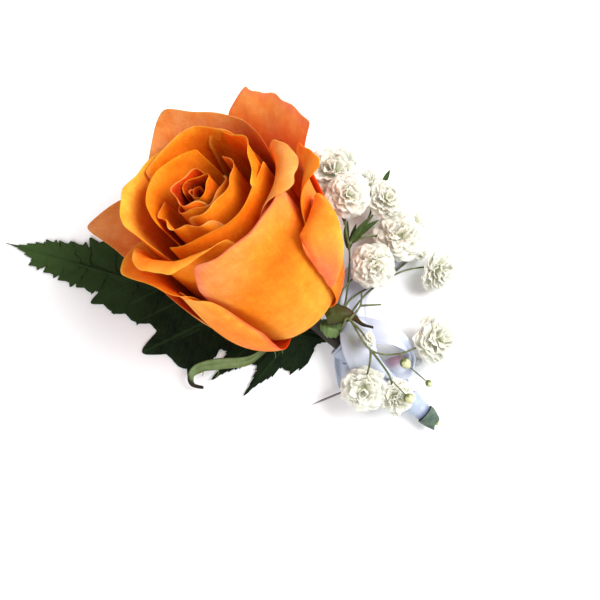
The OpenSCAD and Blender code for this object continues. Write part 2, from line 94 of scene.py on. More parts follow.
def ease(low, high, x):
    """0 below low, 1 above high and smooth between them."""
    share = min(1.0, max(0.0, (x - low) / (high - low)))
    return share * share * (3 - 2 * share)


def ripple(x, y, z):
    """A soft noise from -1 to 1 that is the same in each run."""
    return noise.noise(Vector((x, y, z)))


def spline(a, b, c, d, t):
    """At share t of a smooth curve from b to c, with a before them and d after."""
    start = b + t * (c - a) / 2 + t * t * (2 * a - 5 * b + 4 * c - d) / 2
    return start + t ** 3 * (3 * b - a - 3 * c + d) / 2


def along(rows, t):
    """The row at share t of a table, along a smooth curve through its rows."""
    last = len(rows) - 1
    i = min(last - 1, int(t * last))
    four = [rows[max(0, i - 1)], rows[i], rows[i + 1], rows[min(last, i + 2)]]
    return [spline(*column, t * last - i) for column in zip(*four)]


def way_along(rows, t):
    """The way that the curve through the rows runs at t."""
    return Vector(along(rows, min(1, t + NEARBY))[:3]) - Vector(along(rows, max(0, t - NEARBY))[:3])


def toned_mesh():
    """A new mesh and its colour layer."""
    bm = bmesh.new()
    return bm, bm.verts.layers.float_color.new("tone")


def grid(bm, cols, rows, place):
    """Adds a grid bent by place(u, t), with u from -1 to 1 across and t from 0 to 1 along, in millimetres."""
    uv = bm.loops.layers.uv.verify()
    made = bmesh.ops.create_grid(bm, x_segments=cols, y_segments=rows, size=0.5)["verts"]
    flat = {v: (2 * v.co.x, v.co.y + 0.5) for v in made}
    for face in {f for v in made for f in v.link_faces}:
        for loop in face.loops:
            u, t = flat[loop.vert]
            loop[uv].uv = ((u + 1) / 2, t)
    for v, (u, t) in flat.items():
        v.co = Vector(place(u, t))
    return flat


def close(bm, flat):
    """Merges the places that meet, and turns the faces outwards."""
    bmesh.ops.remove_doubles(bm, verts=list(flat), dist=MERGE)
    bmesh.ops.recalc_face_normals(bm, faces=bm.faces)


def tube(bm, path, radius, around, rings):
    """A round tube along a smooth curve through path. Its ends close where radius(t) is 0."""
    rows = [tuple(p) for p in path]

    def place(u, t):
        here, way = Vector(along(rows, t)), way_along(rows, t).normalized()
        side = way.cross(Vector((0, 0, 1)))
        side = Vector((1, 0, 0)) if side.length < 0.001 else side.normalized()
        top = side.cross(way)
        angle = math.pi * u
        return here + radius(t) * (math.cos(angle) * side + math.sin(angle) * top)

    close(bm, grid(bm, around, rings, place))


def round_ends(t, share):
    """Closes both ends of a tube in a dome that takes that share of its length."""
    edge = min(t, 1 - t)
    return math.sqrt(max(0.0, 1 - (1 - min(1, edge / share)) ** 2))


def piece(name, bm, materials, replaced=(), wall=0.0, levels=0, group=None, shift=0):
    """Makes the object in metres, at the origin, and lets it ride on the part.

    wall is its thickness, group a share of that for each vertex, and shift the inner side's material.
    """
    bmesh.ops.scale(bm, vec=(MM, MM, MM), verts=bm.verts)
    mesh = bpy.data.meshes.new(name)
    bm.to_mesh(mesh)
    bm.free()
    for p in mesh.polygons:
        p.use_smooth = True
    made = bpy.data.objects.new(name, mesh)
    scene_objects.link(made)
    for m in materials:
        mesh.materials.append(m)
    if group:
        held = made.vertex_groups.new(name="wall")
        for index, weight in enumerate(group):
            held.add([index], weight, "REPLACE")
    if wall:
        solid = made.modifiers.new("Wall", "SOLIDIFY")
        solid.thickness = wall * MM
        solid.offset = 0.0
        solid.material_offset = shift
        solid.material_offset_rim = shift
        if group:
            solid.vertex_group = "wall"
            solid.thickness_vertex_group = 0.0
    if levels:
        soft = made.modifiers.new("Soft", "SUBSURF")
        soft.levels = soft.render_levels = levels
    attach(made, "root")
    if replaced:
        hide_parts(*replaced)
    return made


# Materials
class Line:
    """A shader socket. Sums on it are written as Python expressions."""

    def __init__(self, paint, socket):
        self.paint, self.socket = paint, socket

    def __add__(self, other):
        return self.paint.maths("ADD", self, other)

    def __sub__(self, other):
        return self.paint.maths("SUBTRACT", self, other)

    def __rsub__(self, other):
        return self.paint.maths("SUBTRACT", other, self)

    def __mul__(self, other):
        return self.paint.maths("MULTIPLY", self, other)

    __radd__ = __add__
    __rmul__ = __mul__


class Paint:
    """One material and its nodes. soft is how much light goes under its skin, and depths how far."""

    def __init__(self, name, soft=0.0, depths=(0, 0, 0), **constants):
        self.material = bpy.data.materials.new(name)
        self.material.use_nodes = True
        self.tree = self.material.node_tree
        self.shader = self.tree.nodes["Principled BSDF"]
        if soft:
            constants.update(Subsurface_Weight=soft, Subsurface_Radius=depths, Subsurface_Scale=1.0)
        for socket, value in constants.items():
            self.shader.inputs[socket.replace("_", " ")].default_value = value

    def add(self, kind, settings, sockets, out=0):
        """Adds a node: its settings first, then the values or links of its sockets."""
        made = self.tree.nodes.new(kind)
        for name, value in settings.items():
            if name == "stops":
                ramp = made.color_ramp.elements
                while len(ramp) < len(value):
                    ramp.new(0.5)
                for element, (place, colour) in zip(ramp, value):
                    element.position, element.color = place, (*colour, 1)
            else:
                setattr(made, name, value)
        for name, value in sockets.items():
            if isinstance(value, Line):
                self.tree.links.new(value.socket, made.inputs[name])
            elif value is not None:
                made.inputs[name].default_value = value
        return Line(self, made.outputs[out])

    def maths(self, how, first, second=None):
        return self.add("ShaderNodeMath", {"operation": how}, {0: first, 1: second})

    def place(self, scale=(1, 1, 1), uv=False):
        source = self.add("ShaderNodeTexCoord", {}, {}, "UV" if uv else "Object")
        return self.add("ShaderNodeMapping", {}, {"Vector": source, "Scale": scale})

    def clouds(self, scale, detail=3.0, where=None, rough=0.5):
        return self.add("ShaderNodeTexNoise", {}, {
            "Vector": where or self.place(), "Scale": scale, "Detail": detail, "Roughness": rough})

    def attribute(self, name="tone"):
        return self.add("ShaderNodeAttribute", {"attribute_name": name}, {}, "Color")

    def ramp(self, value, stops):
        return self.add("ShaderNodeValToRGB", {"stops": stops}, {0: value})

    def span(self, value, low, high, to_low=0.0, to_high=1.0):
        return self.add("ShaderNodeMapRange", {"clamp": True}, {
            0: value, 1: low, 2: high, 3: to_low, 4: to_high})

    def mix(self, share, first, second, how="MIX"):
        first, second = ((*c, 1) if isinstance(c, tuple) else c for c in (first, second))
        settings = {"data_type": "RGBA", "blend_type": how}
        return self.add("ShaderNodeMix", settings, {0: share, 6: first, 7: second}, 2)

    def give(self, colour, worn, rough, relief, strength, depth):
        """Links colour, roughness (from rough[0] to rough[1], by worn) and relief, depth metres high."""
        worn = self.span(worn, 0.3, 0.7, *rough)
        sockets = {"Height": relief, "Strength": strength, "Distance": depth}
        bump = self.add("ShaderNodeBump", {}, sockets)
        for line, name in ((colour, "Base Color"), (worn, "Roughness"), (bump, "Normal")):
            self.tree.links.new(line.socket, self.shader.inputs[name])
        return self.material


def petal_finish(name, side):
    """Velvet skin with fine veins from base to rim, in the petal's colours for that side, with painted shade
    on the inner petals' bases.
    """
    paint = Paint(name, 0.3, (0.0030, 0.0009, 0.0002), Specular_IOR_Level=0.06)
    veins = paint.clouds(1.0, 4.0, paint.place((46, 3, 1), uv=True), 0.6)
    fine = paint.clouds(1.0, 2.0, paint.place((150, 9, 1), uv=True))
    grain = paint.clouds(1400, 3.0)
    blotch = paint.clouds(170, 3.0, rough=0.6)
    crinkle = paint.clouds(380, 4.0, rough=0.62)
    own = paint.attribute(side)
    shade = paint.mix(paint.span(veins, 0.35, 0.7, 0, 0.45), own, (0.93, 0.80, 0.6), "MULTIPLY")
    warm = paint.mix(paint.span(blotch, 0.42, 0.66, 0, 0.8), shade, (0.97, 0.76, 0.45), "MULTIPLY")
    bright = paint.mix(paint.span(crinkle, 0.47, 0.70, 0, 0.55), warm, (1.15, 1.45, 1.5), "MULTIPLY")
    pale = paint.mix(paint.span(grain, 0.5, 0.8, 0, 0.12), bright, (0.95, 0.48, 0.08))
    relief = veins * 0.6 + fine * 0.5 + grain * 0.5 + blotch * 0.6 + crinkle * 1.1
    return paint.give(pale, veins, (0.5, 0.7), relief, 0.34, 0.0003)


# The petals of the rose, from the heart outwards, in the columns of the part's source:
# heading, half width, girth, radius and height of the fold, lean, roll, lap, drop, tip, skew, swing, flare
PETALS = [
    (20, 0.20, 0.10, 0.045, 0.92, -4, 10, 0.03, 0.10, 3, 0.02, 0, 0),
    (150, 0.26, 0.15, 0.085, 0.92, -4, 15, 0.04, 0.12, 3, 0.02, 0, 0),
    (280, 0.34, 0.19, 0.125, 0.94, -4, 20, 0.04, 0.12, 3, 0.02, 0, 0),
    (60, 0.40, 0.23, 0.175, 0.96, -3, 20, 0.04, 0.12, 3, 0.02, 0, 0),
    (170, 0.40, 0.275, 0.225, 0.93, 0, 30, 0.04, 0.15, 3, 0.02, 0, 0),
    (215, 0.48, 0.32, 0.315, 0.94, 0, 30, 0.04, 0.15, 3, 0.03, 0, 0.02),
    (110, 0.44, 0.35, 0.36, 0.93, 2, 30, 0.03, 0.15, 3, 0.02, 0, 0),
    (36, 0.50, 0.37, 0.405, 0.965, 4, 30, 0.06, 0.15, 3, 0.02, 0, 0),
    (272, 0.50, 0.44, 0.515, 0.96, 4, 20, 0.04, 0.15, 3, 0.02, 0, 0),
    (-32, 0.58, 0.475, 0.56, 0.98, 5, 30, 0.05, 0.15, 3, 0.02, 0, 0),
    (184, 0.64, 0.50, 0.51, 0.91, 4, 40, 0.05, 0.15, 3, 0.02, 0, 0.01),
    (55, 0.64, 0.54, 0.61, 0.96, 8, 35, 0.08, 0.15, 3, -0.03, 0, 0),
    (128, 0.52, 0.60, 0.62, 0.89, 12, 115, 0.17, 0.20, 3, -0.05, 0, 0.02),
    (230, 0.45, 0.60, 0.64, 0.885, 20, 135, 0.28, 0.15, 3, 0, 0, 0),
    (-13, 0.80, 0.63, 0.68, 0.90, 24, 50, 0.34, 0.32, 1.5, 0, 0, 0),
    (180, 0.57, 0.665, 0.73, 0.90, 8, 80, 0.08, 0.15, 3, 0, 0, -0.01),
    (117, 0.44, 0.72, 0.70, 0.67, 0, 30, 0.06, 0.42, 1.7, 0.09, 0, 0),
    (236, 0.52, 0.66, 0.795, 0.795, 20, 60, 0.27, 0.25, 3, 0, 0, 0),
    (-70, 0.38, 0.74, 0.82, 0.77, 22, 55, 0.44, 0.24, 2.6, 0, 0, 0.04),
    (47, 0.70, 0.74, 0.765, 0.66, 18, 67, 0.53, 0.46, 1.5, 0, 0, 0),
    (221, 0.28, 0.70, 0.80, 0.69, 25, 140, 0.74, 0.25, 2.5, 0, -30, 0),
    (80, 0.58, 0.68, 0.72, 0.70, 25, 60, 0.30, 0.42, 1.5, 0, 0, 0),
    (10, 0.55, 0.75, 0.80, 0.50, 5, 20, 0.06, 0.30, 2, 0, 0, 0),
]
# The last of the small petals, and the last of the inner ones, whose rims are thinner
SMALL_TO = 6
INNER_TO = 12
# Rims with corners: how far up its length each rim reaches at nine places across it
RIMS = {
    2: (0.80, 0.95, 1.04, 0.97, 0.88, 0.95, 1.02, 0.95, 0.80),
    3: (0.82, 0.93, 0.97, 1.03, 0.95, 0.90, 0.97, 0.94, 0.80),
    4: (0.84, 0.97, 0.92, 0.98, 1.05, 0.96, 0.92, 0.96, 0.82),
    5: (0.85, 0.93, 0.98, 1.04, 0.97, 0.93, 1.00, 0.93, 0.84),
    6: (0.85, 0.97, 0.94, 1.00, 1.05, 0.97, 0.93, 0.98, 0.85),
    7: (0.80, 0.92, 0.93, 1.00, 1.04, 0.95, 0.97, 0.92, 0.80),
    8: (0.86, 0.95, 1.00, 1.02, 1.00, 0.96, 0.95, 0.92, 0.82),
    9: (0.84, 0.95, 1.05, 1.05, 1.01, 0.98, 0.94, 0.90, 0.82),
    10: (0.64, 0.75, 0.86, 0.97, 1.03, 1.00, 0.97, 0.93, 0.86),
    11: (0.84, 0.95, 0.99, 1.00, 0.98, 1.01, 0.99, 0.93, 0.84),
    12: (0.86, 0.92, 0.97, 1.07, 1.01, 0.98, 0.97, 0.93, 0.85),
    13: (0.84, 0.95, 0.985, 1.00, 1.00, 1.00, 0.985, 0.94, 0.86),
    14: (0.74, 0.90, 0.97, 0.985, 0.985, 0.985, 0.97, 0.94, 0.90),
    15: (0.78, 0.86, 0.915, 0.955, 1.02, 0.94, 0.87, 0.76, 0.60),
    16: (0.72, 0.88, 0.96, 0.99, 1.00, 1.00, 1.00, 0.97, 0.88),
    17: (0.26, 0.44, 0.64, 0.83, 0.98, 0.97, 0.92, 0.78, 0.56),
    18: (0.08, 0.25, 0.86, 1.02, 1.02, 0.97, 0.94, 0.91, 0.75),
    19: (0.90, 0.91, 0.92, 0.935, 0.94, 0.935, 0.945, 0.99, 0.86),
    20: (0.55, 0.72, 0.88, 0.97, 1.05, 0.95, 0.82, 0.62, 0.44),
    21: (0.66, 0.80, 0.90, 0.955, 0.98, 0.965, 0.93, 0.86, 0.72),
    22: (0.60, 0.76, 0.90, 0.97, 0.97, 0.94, 0.89, 0.85, 0.83),
}

# Shares by which petals narrow at their rims, and the usual share
ROUNDED = {14: 0.14, 15: 0, 16: 0.03, 17: 0, 18: 0.15, 19: -0.28, 20: 0, 21: 0.20, 22: 0}
USUAL_ROUNDING = 0.06
# The petal that grows wider over its fold
WIDENS = 21

# Colours of the petals
# The darkest red is painted shade: the heart's depths, laid on the bases and backs of the inner petals and on
# the heart
HEART_SHADE_RED = (0.15, 0.004, 0.0006)
FLAME = (0.50, 0.035, 0.001)
SAFFRON = (0.72, 0.11, 0.002)
AMBER = (0.80, 0.20, 0.008)
GOLD = (0.82, 0.31, 0.035)
PEACH = (0.78, 0.27, 0.07)
TAN = (0.52, 0.18, 0.055)
BUFF = (0.68, 0.27, 0.09)
CORAL = (0.70, 0.085, 0.04)
ROSE = (0.70, 0.16, 0.085)

# Inside at the base and the rim, outside at the base, the middle and the rim, the margin,
# and its width as a share of the petal
COLOURS = {
    1: (HEART_SHADE_RED, FLAME, HEART_SHADE_RED, HEART_SHADE_RED, FLAME, SAFFRON, 0.025),
    2: (HEART_SHADE_RED, FLAME, HEART_SHADE_RED, FLAME, SAFFRON, PEACH, 0.025),
    3: (HEART_SHADE_RED, FLAME, HEART_SHADE_RED, FLAME, SAFFRON, AMBER, 0.025),
    4: (HEART_SHADE_RED, FLAME, HEART_SHADE_RED, FLAME, SAFFRON, PEACH, 0.025),
    5: (HEART_SHADE_RED, FLAME, FLAME, SAFFRON, AMBER, PEACH, 0.04),
    6: (HEART_SHADE_RED, SAFFRON, FLAME, SAFFRON, AMBER, PEACH, 0.025),
    7: (FLAME, AMBER, FLAME, SAFFRON, AMBER, PEACH, 0.035),
    8: (FLAME, AMBER, SAFFRON, SAFFRON, AMBER, AMBER, 0.025),
    9: (FLAME, SAFFRON, SAFFRON, SAFFRON, AMBER, GOLD, 0.025),
    10: (FLAME, AMBER, FLAME, FLAME, SAFFRON, PEACH, 0.025),
    11: (FLAME, AMBER, SAFFRON, SAFFRON, AMBER, GOLD, 0.025),
    12: (SAFFRON, GOLD, SAFFRON, SAFFRON, AMBER, GOLD, 0.025),
    13: (FLAME, AMBER, AMBER, AMBER, AMBER, GOLD, 0.05),
    14: (SAFFRON, AMBER, SAFFRON, SAFFRON, AMBER, PEACH, 0.10),
    15: (SAFFRON, TAN, SAFFRON, SAFFRON, PEACH, TAN, 0.12),
    16: (FLAME, SAFFRON, GOLD, AMBER, PEACH, ROSE, 0.09),
    17: (FLAME, AMBER, SAFFRON, AMBER, GOLD, CORAL, 0.08),
    18: (AMBER, GOLD, SAFFRON, SAFFRON, AMBER, AMBER, 0.05),
    19: (AMBER, PEACH, SAFFRON, SAFFRON, PEACH, ROSE, 0.03),
    20: (AMBER, BUFF, SAFFRON, SAFFRON, PEACH, TAN, 0.08),
    21: (AMBER, GOLD, SAFFRON, AMBER, GOLD, CORAL, 0.10),
    22: (AMBER, AMBER, FLAME, SAFFRON, AMBER, GOLD, 0.03),
    23: (HEART_SHADE_RED, FLAME, FLAME, FLAME, FLAME, CORAL, 0.05),
}


def blend(first, second, share):
    return tuple(a + (b - a) * share for a, b in zip(first, second))


def rim_reach(k, u):
    """Share of its length that the petal's rim reaches at u."""
    if k not in RIMS:
        drop, tip = PETALS[k - 1][8:10]
        return 1 - drop * abs(u) ** tip
    x = 4 * (u + 1)
    i = min(7, int(x))
    return RIMS[k][i] + (RIMS[k][i + 1] - RIMS[k][i]) * (x - i)


def petal_body(rim_h, lap):
    """Share of a petal's length that lies below its fold."""
    return min(0.85, 1 - lap * BLOOM_R / (lap * BLOOM_R + LAP_LENGTH * rim_h * BLOOM_H))


def petal_point(k, u, t, lift=0.0):
    """A place on petal k in the bloom's own frame. lift moves it off the petal's face."""
    az, wide, girth, rim_r, rim_h, lean, roll, lap, _, _, skew, swing, flare = PETALS[k - 1]
    seat = SEAT_FIRST + k * SEAT_STEP
    s = t * rim_reach(k, u) * (1 + 0.02 * ease(0.5, 1, t) * ripple(4 * u, 0, 2.3 * k))
    body = petal_body(rim_h, lap)
    fold = (rim_r * BLOOM_R, rim_h * BLOOM_H)
    if s <= body:
        reach = (FOLD_REACH - REACH_LOST * max(0, lean)) * fold[1]
        pull = (BASE_PULL * girth * BLOOM_R, 0)
        up = (fold[0] - reach * math.sin(rad(lean)), fold[1] - reach * math.cos(rad(lean)))
        x = s / body
        r, z = (a * (1 - x) ** 3 + 3 * b * x * (1 - x) ** 2 + 3 * c * x * x * (1 - x) + d * x ** 3
                for a, b, c, d in zip((seat, -seat * SEAT_FALL), pull, up, fold))
    else:
        turn = rad(lean + roll * (s - body) / (1 - body))
        bend = lap * BLOOM_R / rad(roll)
        r = fold[0] + bend * (math.cos(rad(lean)) - math.cos(turn))
        z = fold[1] + bend * (math.sin(turn) - math.sin(rad(lean)))
    narrowing = 1 - ROUNDED.get(k, USUAL_ROUNDING) * ease(0.8, 1.0, t)
    opening = NARROWEST + (1 - NARROWEST) * math.sin(rad(90 * min(1, s / WIDEST_FROM)))
    half = narrowing * wide * BLOOM_R * opening
    if k == WIDENS:
        half *= 0.80 + 0.66 * ease(body - 0.05, 1.0, s)
    angle = rad(az) + u * half / max(r, 3) + rad(swing) * max(0, (s - body) / (1 - body))
    r += BLOOM_R * (skew * u * s + flare * abs(u) ** 4 * s * s) + lift
    return Vector((r * math.cos(angle), r * math.sin(angle), z))


TO_TABLE = (Matrix.Translation(SEAT) @ Matrix.Rotation(rad(ROSE_TURN), 4, "Z")
            @ Matrix.Rotation(rad(ROSE_TILT), 4, "Y"))

# Ruffle of each rim, in millimetres, its waves across the petal and where they start
RUFFLES = {
    2: (0.7, 2.2, 0.4), 3: (0.9, 2.8, 1.4), 4: (0.9, 3.2, 2.6), 5: (1.0, 3.0, 1.0), 6: (1.0, 3.4, 2.0),
    7: (1.1, 3.4, 0.4), 8: (0.5, 1.6, 1.0), 9: (0.8, 2.5, 2.0), 10: (0.7, 2.0, 0.4), 11: (0.7, 2.2, 1.0),
    12: (0.8, 1.8, 0.5), 13: (0.3, 3, 0.5), 14: (0.25, 2, 2.0), 15: (0.7, 2.5, 1.0), 16: (0.35, 3.5, 0.0),
    19: (0.6, 2.0, 0.6), 20: (0.6, 2.5, 2.2), 21: (0.4, 2.5, 0.0), 22: (0.5, 2.5, 1.4)}

# Petals whose margin is coloured at one end only: where across them the colour starts and is full
BLUSHED = {17: (0.55, 0.95), 21: (0.6, -0.1)}


def rim_of(k, u, t):
    """1 at the petal's rim and 0 well inside it."""
    return max(ease(0.72, 1.0, t), ease(0.75, 1.0, abs(u)) * ease(0.3, 0.7, t))


def petal_place(k, u, t):
    height, waves, start = RUFFLES.get(k, (0.3, 3, k))
    rim = rim_of(k, u, t)
    lift = height * rim * math.sin(waves * math.pi * u + start)
    lift += 0.25 * ease(0.2, 0.6, t) * ripple(2.2 * u, 3.0 * t, 7.1 * k)
    return TO_TABLE @ petal_point(k, u, t, lift)


def petal_tint(k, u, t):
    """The petal's colours inside and outside at a place."""
    inner, inner_rim, outer, outer_middle, outer_rim, margin, width = COLOURS[k]
    place = t + 0.12 * ripple(3 * u, 2 * t, k)
    near = max(abs(u), t) + 0.03 * ripple(5 * u, 5 * t, 3.3 * k)
    edge = ease(1 - 1.6 * width, 1.0, near) * ease(0.35, 0.7, t)
    if k in BLUSHED:
        edge *= ease(*BLUSHED[k], u)
    # On the small petals the dark base colour, painted shade of the heart, holds for most of their length
    deep = 0.7 if k <= SMALL_TO else 0.4
    inside = blend(inner, inner_rim, ease(deep, 1.0, place))
    outside = blend(blend(outer, outer_middle, ease(0.2, 0.6, place)), outer_rim, ease(0.6, 0.95, place))
    return [blend(colour, margin, edge) for colour in (inside, outside)]


petal_skins = [petal_finish("petal_outside", "outside"), petal_finish("petal_inside", "inside")]


def petal(k):
    bm = bmesh.new()
    sides = ("inside", "outside")
    for side in sides:
        bm.verts.layers.float_color.new(side)
    cols, rows = (14, 20) if k <= SMALL_TO else (24, 32)
    flat = grid(bm, cols, rows, lambda u, t: petal_place(k, u, t))
    layers = [bm.verts.layers.float_color[side] for side in sides]
    for v, (u, t) in flat.items():
        for layer, colour in zip(layers, petal_tint(k, u, t)):
            v[layer] = (*colour, 1)
    thin = 0.8 if k <= INNER_TO else 0.6
    walls = [1 - thin * max(ease(0.75, 1.0, t), ease(0.8, 1.0, abs(u))) for u, t in flat.values()]
    piece(f"rose_petal_{k}", bm, petal_skins, [f"petal_{k}"], wall=PETAL_T, levels=1,
          group=walls, shift=1)


for k in range(1, len(PETALS) + 1):
    petal(k)


# Leaves
def leaf_finish(name, deep, fresh, veins=1.0, tip=None):
    """A leaf with ribs that slant from its middle.

    tip gives a colour laid over its end as painted light, where along X that starts and is full, and its
    least and most share.
    """
    paint = Paint(name, Specular_IOR_Level=0.06)
    uv = paint.add("ShaderNodeTexCoord", {}, {}, "UV")
    across = paint.add("ShaderNodeSeparateXYZ", {}, {"Vector": uv}, "X")
    up = paint.add("ShaderNodeSeparateXYZ", {}, {"Vector": uv}, "Y")
    off = paint.maths("ABSOLUTE", across - 0.5)
    rib = paint.span(paint.maths("SINE", (up - off * 0.55) * (62.0 * veins)), 0.75, 1.0)
    middle = paint.span(off, 0.0, 0.035, 1.0, 0.0)
    blotch = paint.clouds(260, 4.0, rough=0.6)
    grain = paint.clouds(1800, 2.0)
    base = paint.mix(paint.span(blotch, 0.35, 0.7), deep, fresh)
    lined = paint.mix(rib * 0.35, base, tuple(min(1, 1.5 * c) for c in fresh))
    if tip:
        length = paint.add("ShaderNodeSeparateXYZ", {}, {"Vector": paint.place()}, "X")
        lined = paint.mix(paint.span(length, *tip[1:]), lined, tip[0])
    colour = paint.mix(middle * 0.7, lined, tuple(min(1, 2.4 * c) for c in fresh))
    relief = rib * -0.5 + middle * 0.8 + blotch * 0.6 + grain * 0.2
    return paint.give(colour, blotch, (0.44, 0.62), relief, 0.4, 0.0003)


# The blade is painted nearly black as shade under the bloom, and lighter green at its tip as painted light
# where it reaches out of that shade
fern_skin = leaf_finish("fern_blade", (0.003, 0.007, 0.002), (0.008, 0.017, 0.005),
                        tip=((0.042, 0.078, 0.020), -0.045, -0.088, 0, 0.85))


def leaf_half(t):
    """Half width of a leaflet: it opens quickly and ends blunt."""
    return (0.35 + 0.65 * ease(0.0, 0.4, t)) * (1 - 0.72 * ease(0.62, 1.0, t))


def saw(t, teeth):
    """A leaf edge's teeth: each rises slowly and drops back sharply."""
    step = t * teeth
    return step - math.floor(step)


def leaflet(bm, start, heading, length, half, teeth, lift=0.3, cup=0.6, tilt=0.0, each=5, taper=0.0):
    """One toothed leaflet that starts at a place and lies along a heading."""

    def place(u, t):
        tooth = saw(t, teeth) if t < 0.999 else 0.5
        edge = abs(u) ** 3
        point = (1 - t) ** 0.8 if taper else 1.0
        width = half * leaf_half(t) * (1 - taper + taper * point) * (0.90 + 0.16 * tooth)
        blunt = 0.25 * length * u * u * ease(0.6, 1.0, t) * (1 - taper)
        x = length * (t + edge * 0.5 * tooth / teeth) - blunt
        y = width * u
        z = lift + cup * (1 - abs(u)) * 0.5 + tilt * u + 0.25 * ripple(0.2 * x, 0.35 * y, heading)
        c, s = math.cos(rad(heading)), math.sin(rad(heading))
        return (start[0] + x * c - y * s, start[1] + x * s + y * c, max(0.2, z))

    return grid(bm, 10, teeth * each, place)


FROND_AT = Vector((0.20, -0.32)) * BLOOM_R
FROND_TURN = 163.8
LEAFLET_TURN = 42.0
LEAFLET_WIDE = 0.41
BLADE_WIDE = 0.06
TIP_FROM = 0.78
# The main frond's leaflet tips: along it as a share of its length, out as a share of the longest
FROND_TIPS = [
    (0.93, 0.17), (0.88, 0.20), (0.83, 0.24), (0.77, 0.26), (0.71, 0.39), (0.64, 0.43),
    (0.56, 0.46), (0.51, 0.77), (0.43, 0.55), (0.35, 0.46), (0.26, 0.52), (0.15, 0.48),
    (0.90, -0.17), (0.86, -0.20), (0.82, -0.23), (0.77, -0.33), (0.70, -0.41), (0.62, -0.52),
    (0.55, -0.58), (0.50, -0.78), (0.43, -0.67), (0.34, -0.50), (0.24, -0.42), (0.12, -0.36)]
# The lower frond's leaflets: start as shares of BLOOM_R, heading, length and half width
LOWER_LEAFLETS = [(0.07, -0.18, 230, 0.94, 0.14), (-0.22, -0.20, 222, 0.82, 0.15),
                  (-0.26, -0.28, -10, 0.60, 0.12)]


def main_frond():
    bm = bmesh.new()
    turn = rad(FROND_TURN)
    way = Vector((math.cos(turn), math.sin(turn)))
    for row, (share, out) in enumerate(FROND_TIPS):
        reach = out * LEAFLET_L
        size = abs(reach) / math.sin(rad(LEAFLET_TURN))
        start = FROND_AT + way * (share * FROND_L - abs(reach) / math.tan(rad(LEAFLET_TURN)))
        leaflet(bm, start, FROND_TURN + math.copysign(LEAFLET_TURN, out), size * 1.04,
                LEAFLET_WIDE * size, 6 if size > 10 else 4, lift=0.45,
                tilt=math.copysign(0.22 if row % 2 else 0.30, out), cup=0.4)
    leaflet(bm, FROND_AT + way * TIP_FROM * FROND_L, FROND_TURN, (1 - TIP_FROM) * FROND_L,
            1.1 * BLADE_WIDE * FROND_L, 9, lift=0.6, taper=1.0)
    leaflet(bm, FROND_AT, FROND_TURN, FROND_L, 0.5 * BLADE_WIDE * FROND_L, 13, lift=0.6, each=3, taper=1.0)
    rib = [(*(FROND_AT + way * FROND_L * t), 0.95) for t in (0, 0.25, 0.5, 0.75, 0.98)]
    tube(bm, rib, lambda t: 0.42 - 0.30 * t, 6, 24)
    piece("fern_main", bm, [fern_skin], ["main_frond"], wall=0.25)


def lower_frond():
    bm = bmesh.new()
    for x, y, heading, length, half in LOWER_LEAFLETS:
        leaflet(bm, Vector((x, y)) * BLOOM_R, heading, length * UNDER_L, 1.1 * half * UNDER_L, 11,
                lift=1.0, cup=0.8, each=4, taper=0.75)
    piece("fern_lower", bm, [fern_skin], ["lower_frond"], wall=0.25)


main_frond()
lower_frond()


# Ribbon
def satin_finish():
    """Woven satin: fine threads along the ribbon that catch the light, darkened where its tone carries
    painted shade.
    """
    paint = Paint("satin_ribbon", 0.15, (0.0012, 0.0012, 0.0014), Sheen_Weight=0.1, Sheen_Roughness=0.3,
                  Specular_IOR_Level=0.35, Anisotropic=0.4)
    threads = paint.clouds(1.0, 2.0, paint.place((160, 8, 1), uv=True))
    weave = paint.clouds(1.0, 2.0, paint.place((14, 320, 1), uv=True))
    clouds = paint.clouds(90, 3.0)
    base = paint.mix(paint.span(clouds, 0.35, 0.7), (0.47, 0.51, 0.62), (0.56, 0.60, 0.70))
    lined = paint.mix(paint.span(threads, 0.4, 0.7, 0, 0.12), base, (0.50, 0.50, 0.66))
    colour = paint.mix(1.0, lined, paint.attribute(), "MULTIPLY")
    return paint.give(colour, threads, (0.30, 0.46), threads * 0.6 + weave * 0.4, 0.18, 0.00015)


satin = satin_finish()
# Ribbon loops: places that their two edges pass, as shares of BLOOM_R
FRONT_LOOP = [
    (0.862, -0.682, 0.257, 0.72, -0.756, 0.229),
    (0.8, -0.631, 0.343, 0.573, -0.707, 0.286),
    (0.742, -0.565, 0.4, 0.462, -0.631, 0.343),
    (0.683, -0.473, 0.486, 0.398, -0.512, 0.4),
    (0.656, -0.359, 0.486, 0.362, -0.389, 0.4),
    (0.627, -0.247, 0.4, 0.356, -0.276, 0.343),
    (0.574, -0.179, 0.257, 0.369, -0.207, 0.229),
    (0.562, -0.29, 0.171, 0.327, -0.363, 0.143),
    (0.546, -0.473, 0.129, 0.31, -0.529, 0.114),
    (0.529, -0.656, 0.114, 0.329, -0.712, 0.1),
    (0.565, -0.784, 0.114, 0.375, -0.832, 0.086),
    (0.673, -0.783, 0.129, 0.493, -0.867, 0.1)]
RIGHT_LOOP = [
    (0.468, -0.144, 0.229, 0.496, -0.354, 0.371),
    (0.678, -0.169, 0.314, 0.648, -0.385, 0.486),
    (0.853, -0.249, 0.343, 0.785, -0.393, 0.514),
    (0.972, -0.383, 0.314, 0.895, -0.439, 0.457),
    (1.03, -0.538, 0.271, 0.942, -0.471, 0.343),
    (1.007, -0.665, 0.243, 0.9, -0.495, 0.229),
    (0.926, -0.728, 0.243, 0.81, -0.522, 0.229),
    (0.837, -0.747, 0.229, 0.72, -0.576, 0.229)]
